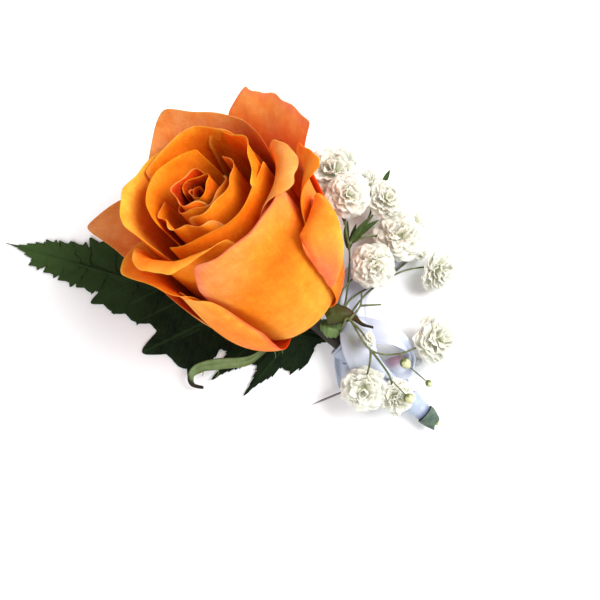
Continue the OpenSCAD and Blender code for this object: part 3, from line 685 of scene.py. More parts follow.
# The loop behind: its middle as shares of BLOOM_R, the heading and rise of the width, and its span
BACK_LOOP = [
    (0.66, -0.46, 0.19, -38, 0, 0.40), (0.54, -0.28, 0.20, -25, 0, 0.65),
    (0.47, -0.02, 0.18, -8, 0, 0.85), (0.53, 0.18, 0.17, -22, 0, 1.00),
    (0.69, 0.31, 0.13, -48, 10, 1.00), (0.84, 0.39, 0.10, -65, 20, 0.90),
    (0.95, 0.44, 0.07, -70, 20, 0.50)]


def strip_length(place):
    """Length of a strip along its middle, in millimetres."""
    places = [place(0, i / 200) for i in range(201)]
    return sum((b - a).length for a, b in zip(places, places[1:]))


def across_of(row):
    """The way across a strip, from its heading and rise in degrees."""
    yaw, rise = rad(row[3]), rad(row[4])
    return Vector((math.cos(yaw) * math.cos(rise), math.sin(yaw) * math.cos(rise), math.sin(rise)))


def by_edges(rows, t):
    """Middle and half width of a loop that is given by its two edges."""
    row = along(rows, t)
    first, second = Vector(row[:3]) * BLOOM_R, Vector(row[3:6]) * BLOOM_R
    return (first + second) / 2, (first - second) / 2


def by_middle(rows, t):
    row = along(rows, t)
    return Vector(row[:3]) * BLOOM_R, across_of(row) * RIBBON_W / 2 * min(1.0, row[5])


def cloth(name, node, place, cols, rows, tint, wall):
    """A piece of the ribbon. tint(u, t) gives the painted shade of its hollows, folds and covered edges
    there.
    """
    bm, tone = toned_mesh()
    for v, (u, t) in grid(bm, cols, rows, place).items():
        v[tone] = (*tint(u, t), 1)
    made = piece(name, bm, [satin], [node], wall=wall)
    strip_length(place) * MM


WHITE = (1, 1, 1)


def plain_tint(u, t):
    return WHITE


def ribbon(name, rows, node, frame_of, start, puff, tint=plain_tint):
    """A satin loop. Where it narrows to the knot its width is taken up in pleats."""

    def place(u, t):
        middle, half = frame_of(rows, t)
        way = frame_of(rows, min(1, t + NEARBY))[0] - frame_of(rows, max(0, t - NEARBY))[0]
        face = way.cross(half).normalized()
        depth = 0.13 * RIBBON_W * max(0, 1.02 - 2 * half.length / RIBBON_W)
        fold = depth * math.sin(2 * math.pi * u + start + 2.0 * t)
        soft = 0.30 * ripple(1.2 * u, 5 * t, start + 3) + puff * (1 - u * u)
        return middle + half * u + face * (fold + soft)

    cloth(name, node, place, 28, 96, tint, 0.22)


def right_loop_shade(u, t):
    """Painted shade on the inside of the right loop's far end near the fold, warm with painted pink reflected
    light.
    """
    share = ease(0.62, 0.70, t) * ease(0.98, 0.88, t) * ease(0.1, -0.6, u)
    return blend(WHITE, (0.72, 0.42, 0.46), share)


def front_hollow_shade(u, t):
    """A painted olive shade in the hollow of the front loop."""
    share = 0.9 * math.exp(-((t - 0.37) / 0.10) ** 2 - ((u + 0.25) / 0.50) ** 2)
    return blend(WHITE, (0.34, 0.36, 0.24), share)


def wrap_overlap_shadow(u, t):
    """The wrap is a little darker than the loops, and each turn has a painted shadow that deepens towards the
    edge that the next one covers.
    """
    return blend((0.64, 0.69, 0.73), (0.18, 0.20, 0.29), ease(0.45, 0.95, u))


ribbon("ribbon_front_loop", FRONT_LOOP, "front_loop", by_edges, 0.4, -1.2, front_hollow_shade)
ribbon("ribbon_right_loop", RIGHT_LOOP, "right_loop", by_edges, 1.2, -1.0, right_loop_shade)
ribbon("ribbon_back_loop", BACK_LOOP, "back_loop", by_middle, 2.0, 0.0)

# The stem under the bloom, and what is wound on it
ELBOW_BELOW = 11.803
STEM_TURN = rad(-39.4)
STEM_FALL = rad(1.84)
ELBOW = TO_TABLE @ Vector((0, 0, -ELBOW_BELOW))
STEM_WAY = Vector((math.cos(STEM_TURN), math.sin(STEM_TURN), -math.sin(STEM_FALL))).normalized()
STEM_SIDE = STEM_WAY.cross(Vector((0, 0, 1))).normalized()
STEM_TOP = STEM_SIDE.cross(STEM_WAY)
# Where along the stem the wrap and the tape start and end, and how far apart the wrap's turns are
WRAP = (11.3, 46.4)
TAPE = (46.6, 51.0)
WRAP_PITCH = 5.2
# The knot's place along the stem, its width and its radius
KNOT_S = 33.6
KNOT_W = 4.55
KNOT_R = 4.5


def round_stem(s, radius, angle):
    """A place on the stem at s millimetres from its elbow."""
    return ELBOW + STEM_WAY * s + radius * (math.cos(angle) * STEM_SIDE + math.sin(angle) * STEM_TOP)


def wound():
    """The ribbon wound on the stem in turns that overlap by about half, each over the one before."""
    half = 0.46 * RIBBON_W
    turns = (WRAP[1] - WRAP[0]) / WRAP_PITCH

    def place(u, t):
        middle = WRAP[0] + t * (WRAP[1] - WRAP[0])
        low, high = max(WRAP[0], middle - half), min(WRAP[1], middle + half)
        s = low + (high - low) * (u + 1) / 2
        outside = 3.02 + 0.8 * min(1, (WRAP[1] - s) / (WRAP[1] - KNOT_S))
        crease = 0.10 * ripple(0.5 * s, 9 * t, 2.0) + 0.07 * math.sin(2.2 * s + 30 * t)
        return round_stem(s, outside - 0.45 + 0.42 * (1 - u) + crease, 2 * math.pi * turns * t + 0.4)

    cloth("ribbon_wrap", "stem_wrap", place, 16, 260, wrap_overlap_shadow, 0.2)


def knot():
    """One turn of ribbon drawn tight over the loops, with its width gathered in folds."""

    def place(u, t):
        angle = 2 * math.pi * 1.08 * t - 1.0
        fold = 0.80 * math.sin(3.1 * math.pi * u + 1.2 * math.sin(angle))
        narrow = 1 - 0.18 * math.cos(angle - 1.2)
        radius = KNOT_R - 0.55 + 0.35 * t + 0.25 * (1 - u * u) + fold * 0.8
        spot = round_stem(KNOT_S + KNOT_W / 2 * u * narrow + 0.8 * math.sin(angle), radius, angle)
        spot.z = max(spot.z, 0.2 + 0.1 * t)
        return spot

    cloth("ribbon_knot", "knot", place, 36, 60, plain_tint, 0.2)


wound()
knot()


def tape_finish():
    """Waxed green crepe with fine pale creases round the stem."""
    paint = Paint("crepe_tape", Specular_IOR_Level=0.3)
    creases = paint.clouds(1.0, 3.0, paint.place((5, 90, 1), uv=True))
    blotch = paint.clouds(500, 3.0)
    base = paint.mix(paint.span(blotch, 0.35, 0.7), (0.032, 0.060, 0.040), (0.085, 0.13, 0.095))
    colour = paint.mix(paint.span(creases, 0.5, 0.75, 0, 0.6), base, (0.22, 0.29, 0.22))
    relief = creases * 0.8 + blotch * 0.4
    return paint.give(colour, creases, (0.4, 0.6), relief, 0.5, 0.0003)


def stem_finish():
    """Mottled skin over the stem's colour: nearly black as painted shade under the bloom, paling to the fresh
    cut at its end.
    """
    paint = Paint("stem_shaded_skin", Specular_IOR_Level=0.2)
    clouds = paint.clouds(420, 3.0)
    own = paint.attribute()
    colour = paint.mix(paint.span(clouds, 0.3, 0.7, 0, 0.5), own, (0.55, 0.5, 0.3), "MULTIPLY")
    return paint.give(colour, clouds, (0.5, 0.65), clouds, 0.3, 0.0003)


def tape():
    """Tape wound round the stem's end, with its own end askew."""

    def place(u, t):
        angle = math.pi * u
        end = TAPE[1] + 0.5 * math.sin(3 * angle + 1) - 0.4 + 1.1 * math.cos(angle - 0.6)
        s = TAPE[0] + t * (end - TAPE[0])
        step = 0.22 * saw(t * 0.999 + (u + 1) / 2 * 0.5, 2)
        radius = 3.0 - 0.75 * t * t + step * (1 - t) + 0.10 * ripple(3 * u, 6 * t, 1)
        return round_stem(s, radius, angle)

    bm = bmesh.new()
    bmesh.ops.remove_doubles(bm, verts=list(grid(bm, 40, 16, place)), dist=MERGE)
    piece("tape_wound", bm, [tape_finish()], ["floral_tape"], wall=0.3)


def stem():
    """The stem, which narrows to its cut end."""

    def radius(t):
        return (2.25 - ease(0.86, 1.0, t)) * min(1, 12 * (1 - t)) ** 0.5 * min(1, 20 * t) ** 0.5

    bm, tone = toned_mesh()
    path = [ELBOW - STEM_WAY * 1.5 + Vector((0, 0, 1.0))]
    path += [ELBOW + STEM_WAY * s for s in (3, 10, 20, 30, 40, 47, 52.3)]
    tube(bm, path, radius, 20, 60)
    for v in bm.verts:
        s = (v.co - ELBOW).dot(STEM_WAY)
        # Nearly black as painted shade under the bloom, paling to the fresh cut at the end
        v[tone] = (*blend((0.035, 0.028, 0.022), (0.46, 0.47, 0.16), ease(49.5, 51.5, s)), 1)
    piece("stem_core", bm, [stem_finish()], ["stem"])


tape()
stem()

# Sepals: place as shares of BLOOM_R, heading and rise of the width, and half width as a share
LONG_SEPAL = [
    (-0.02, -0.30, 0.35, 60, 0, 0.03), (-0.14, -0.37, 0.26, 60, 0, 0.04),
    (-0.27, -0.42, 0.20, 70, 0, 0.05), (-0.46, -0.55, 0.16, 70, 0, 0.05),
    (-0.74, -0.58, 0.16, 90, 0, 0.05), (-0.90, -0.61, 0.15, 110, 0, 0.045),
    (-0.99, -0.68, 0.13, 160, 0, 0.03), (-0.98, -0.77, 0.11, 215, 0, 0.02),
    (-0.88, -0.80, 0.10, 270, 0, 0.012)]
BROWN_SEPAL = [
    (0.235, -0.165, 0.475, 110, 0, 0.05), (0.28, -0.13, 0.47, 110, 0, 0.09),
    (0.38, -0.12, 0.47, 105, 0, 0.08), (0.47, -0.15, 0.46, 80, 0, 0.035),
    (0.54, -0.21, 0.50, 70, 0, 0.015), (0.64, -0.24, 0.51, 90, 0, 0.01)]
ROUND_SEPAL = [
    (0.19, -0.22, 0.34, 80, 0, 0.05), (0.25, -0.25, 0.36, 80, 0, 0.08),
    (0.32, -0.26, 0.34, 95, 0, 0.075), (0.37, -0.24, 0.32, 100, 0, 0.03)]
PALE_GREEN = (0.17, 0.25, 0.10)
LIGHT_GREEN = (0.11, 0.18, 0.055)
DARK_GREEN = (0.022, 0.035, 0.010)
OLIVE = (0.045, 0.050, 0.008)
BROWN = (0.055, 0.026, 0.006)
UMBER = (0.012, 0.008, 0.002)


def sepal_finish():
    """Matt skin with fine veins and a pale down."""
    paint = Paint("sepal_skin", 0.1, (0.0006, 0.0010, 0.0003), Specular_IOR_Level=0.2)
    veins = paint.clouds(1.0, 3.0, paint.place((16, 2, 1), uv=True))
    down = paint.clouds(1600, 3.0)
    blotch = paint.clouds(330, 3.0)
    own = paint.attribute()
    shade = paint.mix(paint.span(blotch, 0.35, 0.7, 0, 0.7), own, (0.62, 0.60, 0.42), "MULTIPLY")
    lined = paint.mix(paint.span(veins, 0.5, 0.72, 0, 0.3), shade, (1.6, 1.5, 1.4), "MULTIPLY")
    colour = paint.mix(paint.span(down, 0.55, 0.8, 0, 0.3), lined, (1.9, 1.8, 1.9), "MULTIPLY")
    return paint.give(colour, down, (0.45, 0.62), veins * 0.8 + down * 0.4, 0.4, 0.0003)


sepal_skin = sepal_finish()


def hair_radius(t):
    return 0.16 * (1 - 0.6 * t) * round_ends(t, 0.06)


def sepal(name, rows, node, tint, keel, curl, hairs=()):
    """A narrow leaf of the cup. keel and curl raise its middle and its edges.

    A hair is given by where it starts, along and across, how far it reaches and its heading.
    """

    def place(u, t):
        row = along(rows, t)
        middle = Vector(row[:3]) * BLOOM_R
        way = way_along(rows, t)
        side = across_of(row)
        face = way.cross(side).normalized()
        face *= math.copysign(1, face.z)
        half = row[5] * BLOOM_R * (1 + 0.10 * ripple(3 * t, u, 5) + 0.05 * math.sin(40 * t))
        rise = half * (keel * (1 - abs(u)) ** 1.3 + curl * u * u + 0.12 * ripple(2 * u, 7 * t, 1))
        return middle + side * u * half + face * rise

    bm, tone = toned_mesh()
    flat = grid(bm, 12, 48, place)
    for v, (u, t) in flat.items():
        v[tone] = (*tint(u, t), 1)
    walls = [1 - 0.5 * ease(0.6, 1.0, abs(u)) for u, t in flat.values()]
    piece(name, bm, [sepal_skin], [node], wall=0.4, group=walls)
    if not hairs:
        return
    bm, tone = toned_mesh()
    for t, u, reach, turn in hairs:
        start = place(u, t)
        way = Vector((math.cos(rad(turn)), math.sin(rad(turn)), 0.1))
        bend = Vector((-way.y, way.x, 0)) * 0.2 * reach
        tube(bm, [start, start + way * reach * 0.5 + bend, start + way * reach], hair_radius, 6, 8)
    for v in bm.verts:
        v[tone] = (*LIGHT_GREEN, 1)
    piece(name + "_hairs", bm, [sepal_skin])


def long_tint(u, t):
    body = blend(DARK_GREEN, PALE_GREEN, ease(0.10, 0.45, t))
    edge = blend(body, BROWN, 0.5 * ease(0.75, 1.0, abs(u)))
    return blend(edge, UMBER, ease(0.74, 0.84, t + 0.05 * u))


def brown_tint(u, t):
    body = blend(OLIVE, BROWN, ease(0.35, 0.7, t + 0.15 * u))
    return blend(body, UMBER, max(0.7 * ease(0.7, 1.0, abs(u)), ease(0.66, 0.85, t)))


def round_tint(u, t):
    rim = 0.5 * max(ease(0.8, 1.0, abs(u)), ease(0.8, 1.0, t))
    return blend(blend(PALE_GREEN, LIGHT_GREEN, 0.6), DARK_GREEN, rim)


LONG_HAIRS = [(0.50, -0.9, 2.8, 250), (0.30, 0.8, 3.0, 55), (0.22, -0.8, 3.4, 290),
              (0.62, -0.9, 1.6, 265), (0.16, -0.8, 3.0, 300)]
BROWN_HAIRS = [(0.30, -1, 1.4, 250)]
sepal("sepal_long", LONG_SEPAL, "long_sepal", long_tint, 0.3, 0.4, LONG_HAIRS)
sepal("sepal_brown", BROWN_SEPAL, "brown_sepal", brown_tint, 0.35, -0.2, BROWN_HAIRS)
sepal("sepal_round", ROUND_SEPAL, "round_sepal", round_tint, 0.6, -0.3)


# Florets: place as shares of BLOOM_R, size as a share of FLORET_R, turn, facing, and warmth of the left side
FLORETS = [
    (0.29, 1.15, 0.34, 1.32, 0, (-0.1, 0.3, 1.0), 0.8),
    (0.42, 0.91, 0.57, 1.06, 25, (0.1, -0.1, 1.0), 0.8),
    (0.77, 0.90, 0.37, 0.94, 50, (0.3, 0.1, 1.0), 0.3),
    (0.62, 1.04, 0.19, 0.90, 10, (0.0, 0.5, 1.0), 0.1),
    (0.89, 0.58, 0.31, 1.22, 35, (0.1, 0.2, 1.0), 0.6),
    (1.04, 0.70, 0.16, 0.76, 5, (0.6, 0.6, 0.8), 0.0),
    (1.09, 0.45, 0.14, 0.48, 15, (0.8, 0.1, 0.6), 0.0),
    (0.65, 0.30, 0.43, 1.06, 40, (0.1, -0.2, 1.0), 0.8),
    (1.26, 0.26, 0.20, 1.05, 20, (0.6, -0.3, 0.6), 0.0),
    (1.235, -0.345, 0.33, 1.14, 30, (0.5, 0.2, 0.8), 0.0),
    (0.56, -0.78, 0.44, 1.10, 45, (-0.1, -0.1, 1.0), 0.1),
    (0.865, -0.875, 0.37, 0.88, 12, (0.3, -0.4, 0.9), 0.0),
    (0.60, -0.34, 0.56, 0.35, 8, (0.3, 0.3, 1.0), 0.0)]
CREAM = (0.62, 0.60, 0.42)
SNOW = (0.66, 0.66, 0.57)
LIME = (0.40, 0.46, 0.18)
BLUSH = (0.70, 0.52, 0.38)
# Angle in degrees between one petal of a floret and the next
PETAL_STEP = 137.5
PETAL_ROWS = 6


def floret_finish():
    """Thin white petals that let light through, with a faint painted glow that lifts their shadows."""
    # The emission is painted light that softens the shade between the petals
    paint = Paint("filler_petal", 0.6, (0.0017, 0.0017, 0.0014), Specular_IOR_Level=0.15,
                  Emission_Color=(0.85, 0.86, 0.74, 1), Emission_Strength=0.05)
    own = paint.attribute()
    veins = paint.clouds(1.0, 2.0, paint.place((30, 3, 1), uv=True))
    colour = paint.mix(paint.span(veins, 0.4, 0.7, 0, 0.2), own, (0.80, 0.80, 0.70), "MULTIPLY")
    return paint.give(colour, veins, (0.5, 0.7), veins, 0.25, 0.0002)


floret_skin = floret_finish()
green_skin = leaf_finish("filler_green", (0.09, 0.14, 0.035), (0.17, 0.24, 0.07), 0.3)


def facing(way):
    """The way that a flower faces and two ways across it."""
    axis = Vector(way).normalized()
    side = axis.orthogonal().normalized()
    return axis, side, axis.cross(side)


def spokes(side, up, angle):
    """The way out from a flower's middle at an angle, and the way round it there."""
    c, s = math.cos(angle), math.sin(angle)
    return c * side + s * up, c * up - s * side


def floret(k):
    """A full flower of small ruffled petals, the first ones upright round its middle."""
    x, y, z, size, turn, way, warmth = FLORETS[k - 1]
    centre, r = Vector((x, y, z)) * BLOOM_R, size * FLORET_R
    rng = random.Random(100 + k)
    axis, side, up = facing(way)
    base = centre - axis * 0.55 * r
    count = int(26 + 14 * size)
    bm, tone = toned_mesh()
    for i in range(count):
        share = (i + 0.5) / count
        angle = rad(turn + PETAL_STEP * i + rng.uniform(-14, 14))
        lean = rad(3 + 94 * share ** 0.8 + rng.uniform(-7, 7))
        length = r * (1.38 - 0.14 * share) * rng.uniform(0.90, 1.08)
        width = r * (0.22 + 0.32 * share) * rng.uniform(0.85, 1.15)
        waves, phase = rng.uniform(2.0, 3.2), rng.uniform(0, 6.3)
        curl, notch = rng.uniform(-0.2, 0.9) * (1 - 0.5 * share), rng.uniform(0.03, 0.10)
        out, cross = spokes(side, up, angle)
        shares = [q / PETAL_ROWS for q in range(PETAL_ROWS + 1)]
        bends = [lean * (0.6 + 0.4 * q) + curl * ease(0.5, 1.0, q) for q in shares]
        spine = [Vector((0, 0, 0))]
        for bend in bends[1:]:
            spine.append(spine[-1] + (math.cos(bend) * axis + math.sin(bend) * out) * length / PETAL_ROWS)

        def place(u, t):
            q = min(PETAL_ROWS, round(t * PETAL_ROWS))
            face = -math.sin(bends[q]) * axis + math.cos(bends[q]) * out
            short = 1 - (notch * abs(math.sin(2.5 * u + phase)) + 0.22 * u * u) * t * t
            wave = 0.05 * t ** 3 * math.sin(waves * math.pi * u + phase)
            ruffle = r * (wave + 0.07 * t * t * math.sin(3 * u + 2 * phase))
            spread = 0.25 + 0.75 * math.sin(0.5 * math.pi * min(1, 1.25 * t))
            rise = face * (ruffle - 0.12 * r * u * u * t)
            return base + spine[q] * short + cross * u * width * spread + rise

        for v, (u, t) in grid(bm, 10, PETAL_ROWS, place).items():
            green = 0.6 * (1 - ease(0.15, 0.85, t)) * (1 - 0.4 * share)
            warm = warmth * (1 - ease(-0.9, 0.1, (v.co - centre).x / r))
            colour = blend(blend(SNOW, CREAM, rng.uniform(0, 0.5)), LIME, green)
            v[tone] = (*blend(colour, BLUSH, min(1, 0.45 * warm)), 1)
    for v in bmesh.ops.create_icosphere(bm, subdivisions=3, radius=0.36 * r)["verts"]:
        v.co += base + axis * 0.28 * r
        v[tone] = (*blend(CREAM, LIME, 0.6), 1)
    piece(f"filler_bloom_{k}", bm, [floret_skin], [f"filler_flower_{k}"], wall=0.14)


def calyx(k):
    """The green cup under a floret, with five points."""
    x, y, z, size, turn, way, _ = FLORETS[k - 1]
    r = size * FLORET_R
    axis, side, up = facing(way)
    base = Vector((x, y, z)) * BLOOM_R - axis * 0.55 * r
    foot = base - axis * 0.25 * r

    def radius(t):
        return 0.24 * r * round_ends(t, 0.5) * (0.6 + 0.6 * t)

    bm = bmesh.new()
    tube(bm, [foot, base, base + axis * 0.3 * r], radius, 8, 8)
    for i in range(5):
        out, cross = spokes(side, up, rad(72 * i + turn))
        grid(bm, 2, 5, lambda u, t: foot + axis * r * (0.1 + 0.42 * t) + out * r * (0.16 + 0.16 * t)
             + cross * u * 0.12 * r * (1 - t ** 2))
    piece(f"filler_calyx_{k}", bm, [green_skin], wall=0.12)


for k in range(1, len(FLORETS) + 1):
    floret(k)
    calyx(k)


# Twigs of the sprays: places that they pass, as shares of BLOOM_R, and the flower at the end
UPPER_SPRIG = [
    ([(0.33, -0.26, 0.28), (0.41, 0.00, 0.28), (0.44, 0.34, 0.36), (0.43, 0.49, 0.40)], 0),
    ([(0.43, 0.49, 0.40), (0.40, 0.66, 0.44)], 2), ([(0.40, 0.66, 0.44), (0.33, 0.86, 0.42)], 1),
    ([(0.43, 0.49, 0.40), (0.58, 0.66, 0.38)], 3), ([(0.58, 0.66, 0.38), (0.64, 0.82, 0.25)], 4),
    ([(0.43, 0.49, 0.40), (0.62, 0.57, 0.37)], 5),
    ([(0.72, 0.16, 0.20), (0.98, 0.36, 0.16), (1.03, 0.50, 0.14)], 6),
    ([(0.98, 0.36, 0.16), (1.03, 0.38, 0.15)], 7),
    ([(0.34, -0.24, 0.24), (0.45, 0.00, 0.22), (0.72, 0.16, 0.20)], 0)]
MIDDLE_SPRIG = [([(0.36, -0.26, 0.30), (0.37, 0.07, 0.36)], 8),
                ([(0.36, -0.26, 0.30), (0.60, 0.06, 0.26), (0.90, 0.25, 0.24)], 9)]
LOWER_SPRIG = [
    ([(0.36, -0.30, 0.30), (0.38, -0.22, 0.49), (0.43, -0.17, 0.55), (0.61, -0.43, 0.62),
      (0.87, -0.47, 0.48)], 10),
    ([(0.61, -0.43, 0.62), (0.60, -0.55, 0.63)], 11), ([(0.61, -0.43, 0.62), (0.78, -0.66, 0.50)], 12),
    ([(0.43, -0.17, 0.55), (0.53, -0.05, 0.46), (0.54, 0.07, 0.46)], 0),
    ([(0.53, -0.05, 0.46), (0.72, -0.04, 0.43)], 0), ([(0.43, -0.17, 0.55), (0.52, -0.26, 0.60)], 13)]
BUD_STALKS = [[(0.87, -0.47, 0.48), (0.93, -0.56, 0.41)], [(0.93, -0.56, 0.41), (1.16, -0.75, 0.24)],
              [(0.80, -0.70, 0.50), (0.95, -0.86, 0.52)]]


def mottled_finish(name, stops, scale, gloss, rough, strength, depth, fine=None, shares=(1.0, 0.4)):
    """Skin with clouds of colour and, where fine gives its scale, a fine grain."""
    paint = Paint(name, Specular_IOR_Level=gloss)
    clouds = paint.clouds(scale, 3.0)
    relief = worn = clouds
    if fine:
        worn = paint.clouds(fine, 2.0)
        relief = clouds * shares[0] + worn * shares[1]
    return paint.give(paint.ramp(clouds, stops), worn, rough, relief, strength, depth)


TWIG_COLOURS = [(0.25, (0.060, 0.050, 0.022)), (0.5, (0.085, 0.100, 0.034)), (0.75, (0.15, 0.18, 0.07))]
twig_skin = mottled_finish("twig_bark", TWIG_COLOURS, 420, 0.3, (0.45, 0.65), 0.4, 0.0002, 2500, (0.6, 0.4))


def twig_radius(t):
    """A twig narrows towards its flower, and is thicker at the joints at both its ends."""
    joint = 1 + 0.7 * math.exp(-((t - 0.03) / 0.025) ** 2) + 0.5 * math.exp(-((t - 0.97) / 0.03) ** 2)
    return 0.88 * TWIG_R * round_ends(t, 0.02) * (1.1 - 0.35 * t) * joint


def stalk_radius(t):
    return 0.5 * TWIG_R * round_ends(t, 0.06)


def sprig(name, rows, node, stalks=()):
    bm = bmesh.new()
    for path, flower in rows:
        places = [Vector(p) * BLOOM_R for p in path]
        if flower:
            x, y, z, size, _, way, _ = FLORETS[flower - 1]
            behind = Vector(way).normalized() * 0.75 * (size * FLORET_R)
            places.append(Vector((x, y, z)) * BLOOM_R - behind)
        tube(bm, places, twig_radius, 8, 12 * (len(places) - 1))
    for stalk in stalks:
        tube(bm, [Vector(p) * BLOOM_R for p in stalk], stalk_radius, 8, 8)
    piece(name, bm, [twig_skin], [node])


sprig("spray_upper", UPPER_SPRIG, "upper_sprig")
sprig("spray_middle", MIDDLE_SPRIG, "middle_sprig")
sprig("spray_lower", LOWER_SPRIG, "lower_sprig", BUD_STALKS)


# Small leaves of the upper spray: foot, middle and tip as shares of BLOOM_R, and half width as a share
SPRAY_LEAVES = [
    ((0.73, 1.00, 0.28), (0.765, 1.09, 0.30), (0.805, 1.165, 0.28), 0.022),
    ((0.44, 0.50, 0.40), (0.52, 0.58, 0.42), (0.60, 0.72, 0.40), 0.038),
    ((0.44, 0.50, 0.39), (0.54, 0.62, 0.37), (0.70, 0.71, 0.36), 0.028),
    ((0.42, 0.46, 0.38), (0.40, 0.60, 0.38), (0.42, 0.70, 0.40), 0.025),
    ((0.43, 0.44, 0.38), (0.46, 0.56, 0.36), (0.50, 0.68, 0.36), 0.022),
    ((0.98, 0.36, 0.17), (1.02, 0.42, 0.20), (1.08, 0.50, 0.20), 0.040)]
spray_leaf_skin = leaf_finish("spray_leaf_skin", (0.018, 0.030, 0.008), (0.045, 0.075, 0.020), 0.4)


def spray_leaf(k):
    """A narrow pointed leaf that folds up a little along its middle."""
    *places, wide = SPRAY_LEAVES[k - 1]
    foot, middle, tip = (Vector(p) * BLOOM_R for p in places)

    def place(u, t):
        here = foot * (1 - t) ** 2 + middle * 2 * t * (1 - t) + tip * t * t
        side = (tip - foot).cross(Vector((0, 0, 1))).normalized()
        half = wide * BLOOM_R * math.sin(math.pi * min(1, 0.08 + 0.92 * t)) ** 0.8
        return here + side * u * half + Vector((0, 0, 0.35 * abs(u) * half))

    bm = bmesh.new()
    grid(bm, 6, 16, place)
    piece(f"spray_leaf_{k}", bm, [spray_leaf_skin], wall=0.2)


for k in range(1, len(SPRAY_LEAVES) + 1):
    spray_leaf(k)

# Buds of the lower spray: place as shares of BLOOM_R, size as a share of BUD_R, facing, and how open they are
BUDS = [
    (0.93, -0.56, 0.41, 1.1, (0.5, -0.5, 0.6), 0.55),
    (1.16, -0.75, 0.24, 0.75, (0.6, -0.5, 0.4), 0.3),
    (0.95, -0.86, 0.52, 1.05, (0.4, -0.5, 0.8), 0.35)]
BUD_DARK = (0.08, 0.11, 0.025)
BUD_LIGHT = (0.20, 0.25, 0.07)


def bud_finish():
    paint = Paint("bud_skin", 0.3, (0.001, 0.001, 0.0006), Specular_IOR_Level=0.2)
    clouds = paint.clouds(900, 3.0)
    mask = paint.span(clouds, 0.35, 0.7, 0, 0.5)
    colour = paint.mix(mask, paint.attribute(), (0.75, 0.78, 0.55), "MULTIPLY")
    return paint.give(colour, clouds, (0.45, 0.6), clouds, 0.3, 0.0003)


bud_skin = bud_finish()


def bud(k):
    """A closed flower: five green scales round a pale tip of folded petals."""
    x, y, z, size, way, opened = BUDS[k - 1]
    centre, r = Vector((x, y, z)) * BLOOM_R, size * BUD_R
    axis, side, up = facing(way)

    def place(u, t):
        angle = math.pi * u
        girth = math.sin(math.pi * min(1, 0.04 + 0.96 * t)) ** 0.7 * (1 - 0.25 * t)
        scales = 0.07 * math.cos(5 * angle) * (1 - t)
        ribs = 1 + scales + 0.10 * opened * math.sin(9 * angle) * ease(0.55, 0.9, t)
        out = math.cos(angle) * side + math.sin(angle) * up
        return centre + axis * r * (2.2 * t - 1.0) + out * r * girth * ribs * (0 if t > 0.999 else 1)

    bm, tone = toned_mesh()
    flat = grid(bm, 30, 18, place)
    for v, (u, t) in flat.items():
        scales = 0.62 - 0.22 * opened + 0.10 * math.cos(5 * math.pi * u)
        pale = ease(scales - 0.06, scales + 0.08, t)
        v[tone] = (*blend(blend(BUD_DARK, BUD_LIGHT, t), CREAM, 0.75 * pale), 1)
    close(bm, flat)
    piece(f"spray_bud_{k}", bm, [bud_skin])


for k in range(1, len(BUDS) + 1):
    bud(k)


# Nodes that show as the source shapes them, each in its own finish
def polished_finish(name, first, second, scale, rough, strength, soft=0.0, **shader):
    """A smooth hard skin with faint marks."""
    paint = Paint(name, soft, (0.001, 0.001, 0.001), **shader)
    marks = paint.clouds(scale, 2.0)
    colour = paint.mix(paint.span(marks, 0.3, 0.7), first, second)
    return paint.give(colour, marks, rough, marks, strength, 0.0001)


def covered_finish(name, dark, light):
    """Skin of a node that the bloom covers."""
    return mottled_finish(name, [(0.35, dark), (0.7, light)], 330, 0.15, (0.5, 0.65), 0.3, 0.0003)


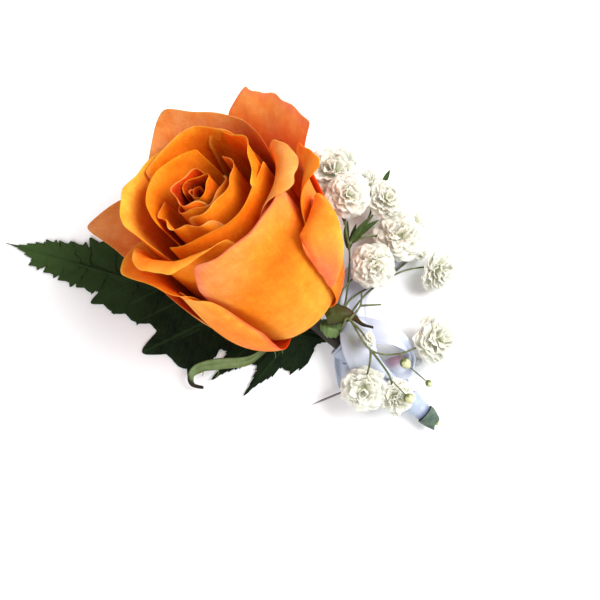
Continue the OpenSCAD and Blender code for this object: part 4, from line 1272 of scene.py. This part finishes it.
# The hip is painted nearly black: painted shade under the bloom
HIP_SHADE_COLOURS = [(0.3, (0.010, 0.011, 0.004)), (0.55, (0.020, 0.025, 0.009)), (0.8, (0.05, 0.07, 0.025))]
under_sepal = covered_finish("under_sepal", DARK_GREEN, LIGHT_GREEN)
FINISHES = {
    "hip": mottled_finish("hip_skin", HIP_SHADE_COLOURS, 380, 0.2, (0.42, 0.6), 0.4, 0.0004, 1700),
    "pin_shaft": polished_finish("pin_steel", (0.13, 0.11, 0.12), (0.24, 0.20, 0.21), 2600,
                                 (0.28, 0.42), 0.1, Metallic=1.0),
    "pearl": polished_finish("pearl_skin", (0.50, 0.53, 0.54), (0.60, 0.58, 0.56), 420,
                             (0.22, 0.32), 0.08, 0.3, Coat_Weight=0.6, Coat_Roughness=0.12,
                             Specular_IOR_Level=0.35),
    "side_sepal": under_sepal,
    "far_sepal": under_sepal,
    # The heart's dark red is painted shade deep in the bloom
    "heart": covered_finish("rose_heart", HEART_SHADE_RED, FLAME)}
for name, skin in FINISHES.items():
    frame["nodes"][name].data.materials.clear()
    frame["nodes"][name].data.materials.append(skin)


# Stage: each lamp's place and size in metres, and its power in watts
LAMPS = {"key": ((0.36, 0.20, 0.50), 0.40, 7.0), "fill": ((-0.45, -0.1, 0.5), 0.5, 0.6),
         "front": ((-0.12, -0.45, 0.35), 0.4, 1.6)}
SENSOR = 36.0
# The camera's focal length and the photograph's width in pixels, and the camera's height in metres
FOCUS_PIXELS = 1022
PHOTO_PIXELS = 600
TABLE_TO_CAMERA = 0.330


def pale_floor():
    paint = Paint("floor_white", Roughness=0.9, Base_Color=(0.88, 0.88, 0.88, 1))
    bm = bmesh.new()
    bmesh.ops.create_grid(bm, x_segments=1, y_segments=1, size=1.5)
    mesh = bpy.data.meshes.new("floor")
    bm.to_mesh(mesh)
    bm.free()
    mesh.materials.append(paint.material)
    floor = bpy.data.objects.new("floor", mesh)
    floor.location = (0, 0, -0.0001)
    scene_objects.link(floor)


def studio_light():
    world = bpy.data.worlds.new("studio")
    world.use_nodes = True
    sky = world.node_tree.nodes["Background"].inputs
    sky["Color"].default_value = (0.95, 0.97, 1.0, 1)
    sky["Strength"].default_value = 0.50
    bpy.context.scene.world = world
    for name, (place, size, power) in LAMPS.items():
        lamp = bpy.data.lights.new(name, "AREA")
        lamp.size, lamp.energy = size, power
        made = bpy.data.objects.new(name, lamp)
        made.location = place
        made.rotation_mode = "QUATERNION"
        made.rotation_quaternion = Vector(place).to_track_quat("Z", "Y")
        scene_objects.link(made)


def camera_above():
    camera = bpy.data.objects.new("camera", bpy.data.cameras.new("camera"))
    camera.data.sensor_width = SENSOR
    camera.data.lens = SENSOR * FOCUS_PIXELS / PHOTO_PIXELS
    camera.data.clip_start = 0.01
    camera.location = (0, 0, TABLE_TO_CAMERA)
    scene_objects.link(camera)
    bpy.context.scene.camera = camera


pale_floor()
studio_light()
camera_above()
bpy.context.scene.view_settings.view_transform = "Standard"
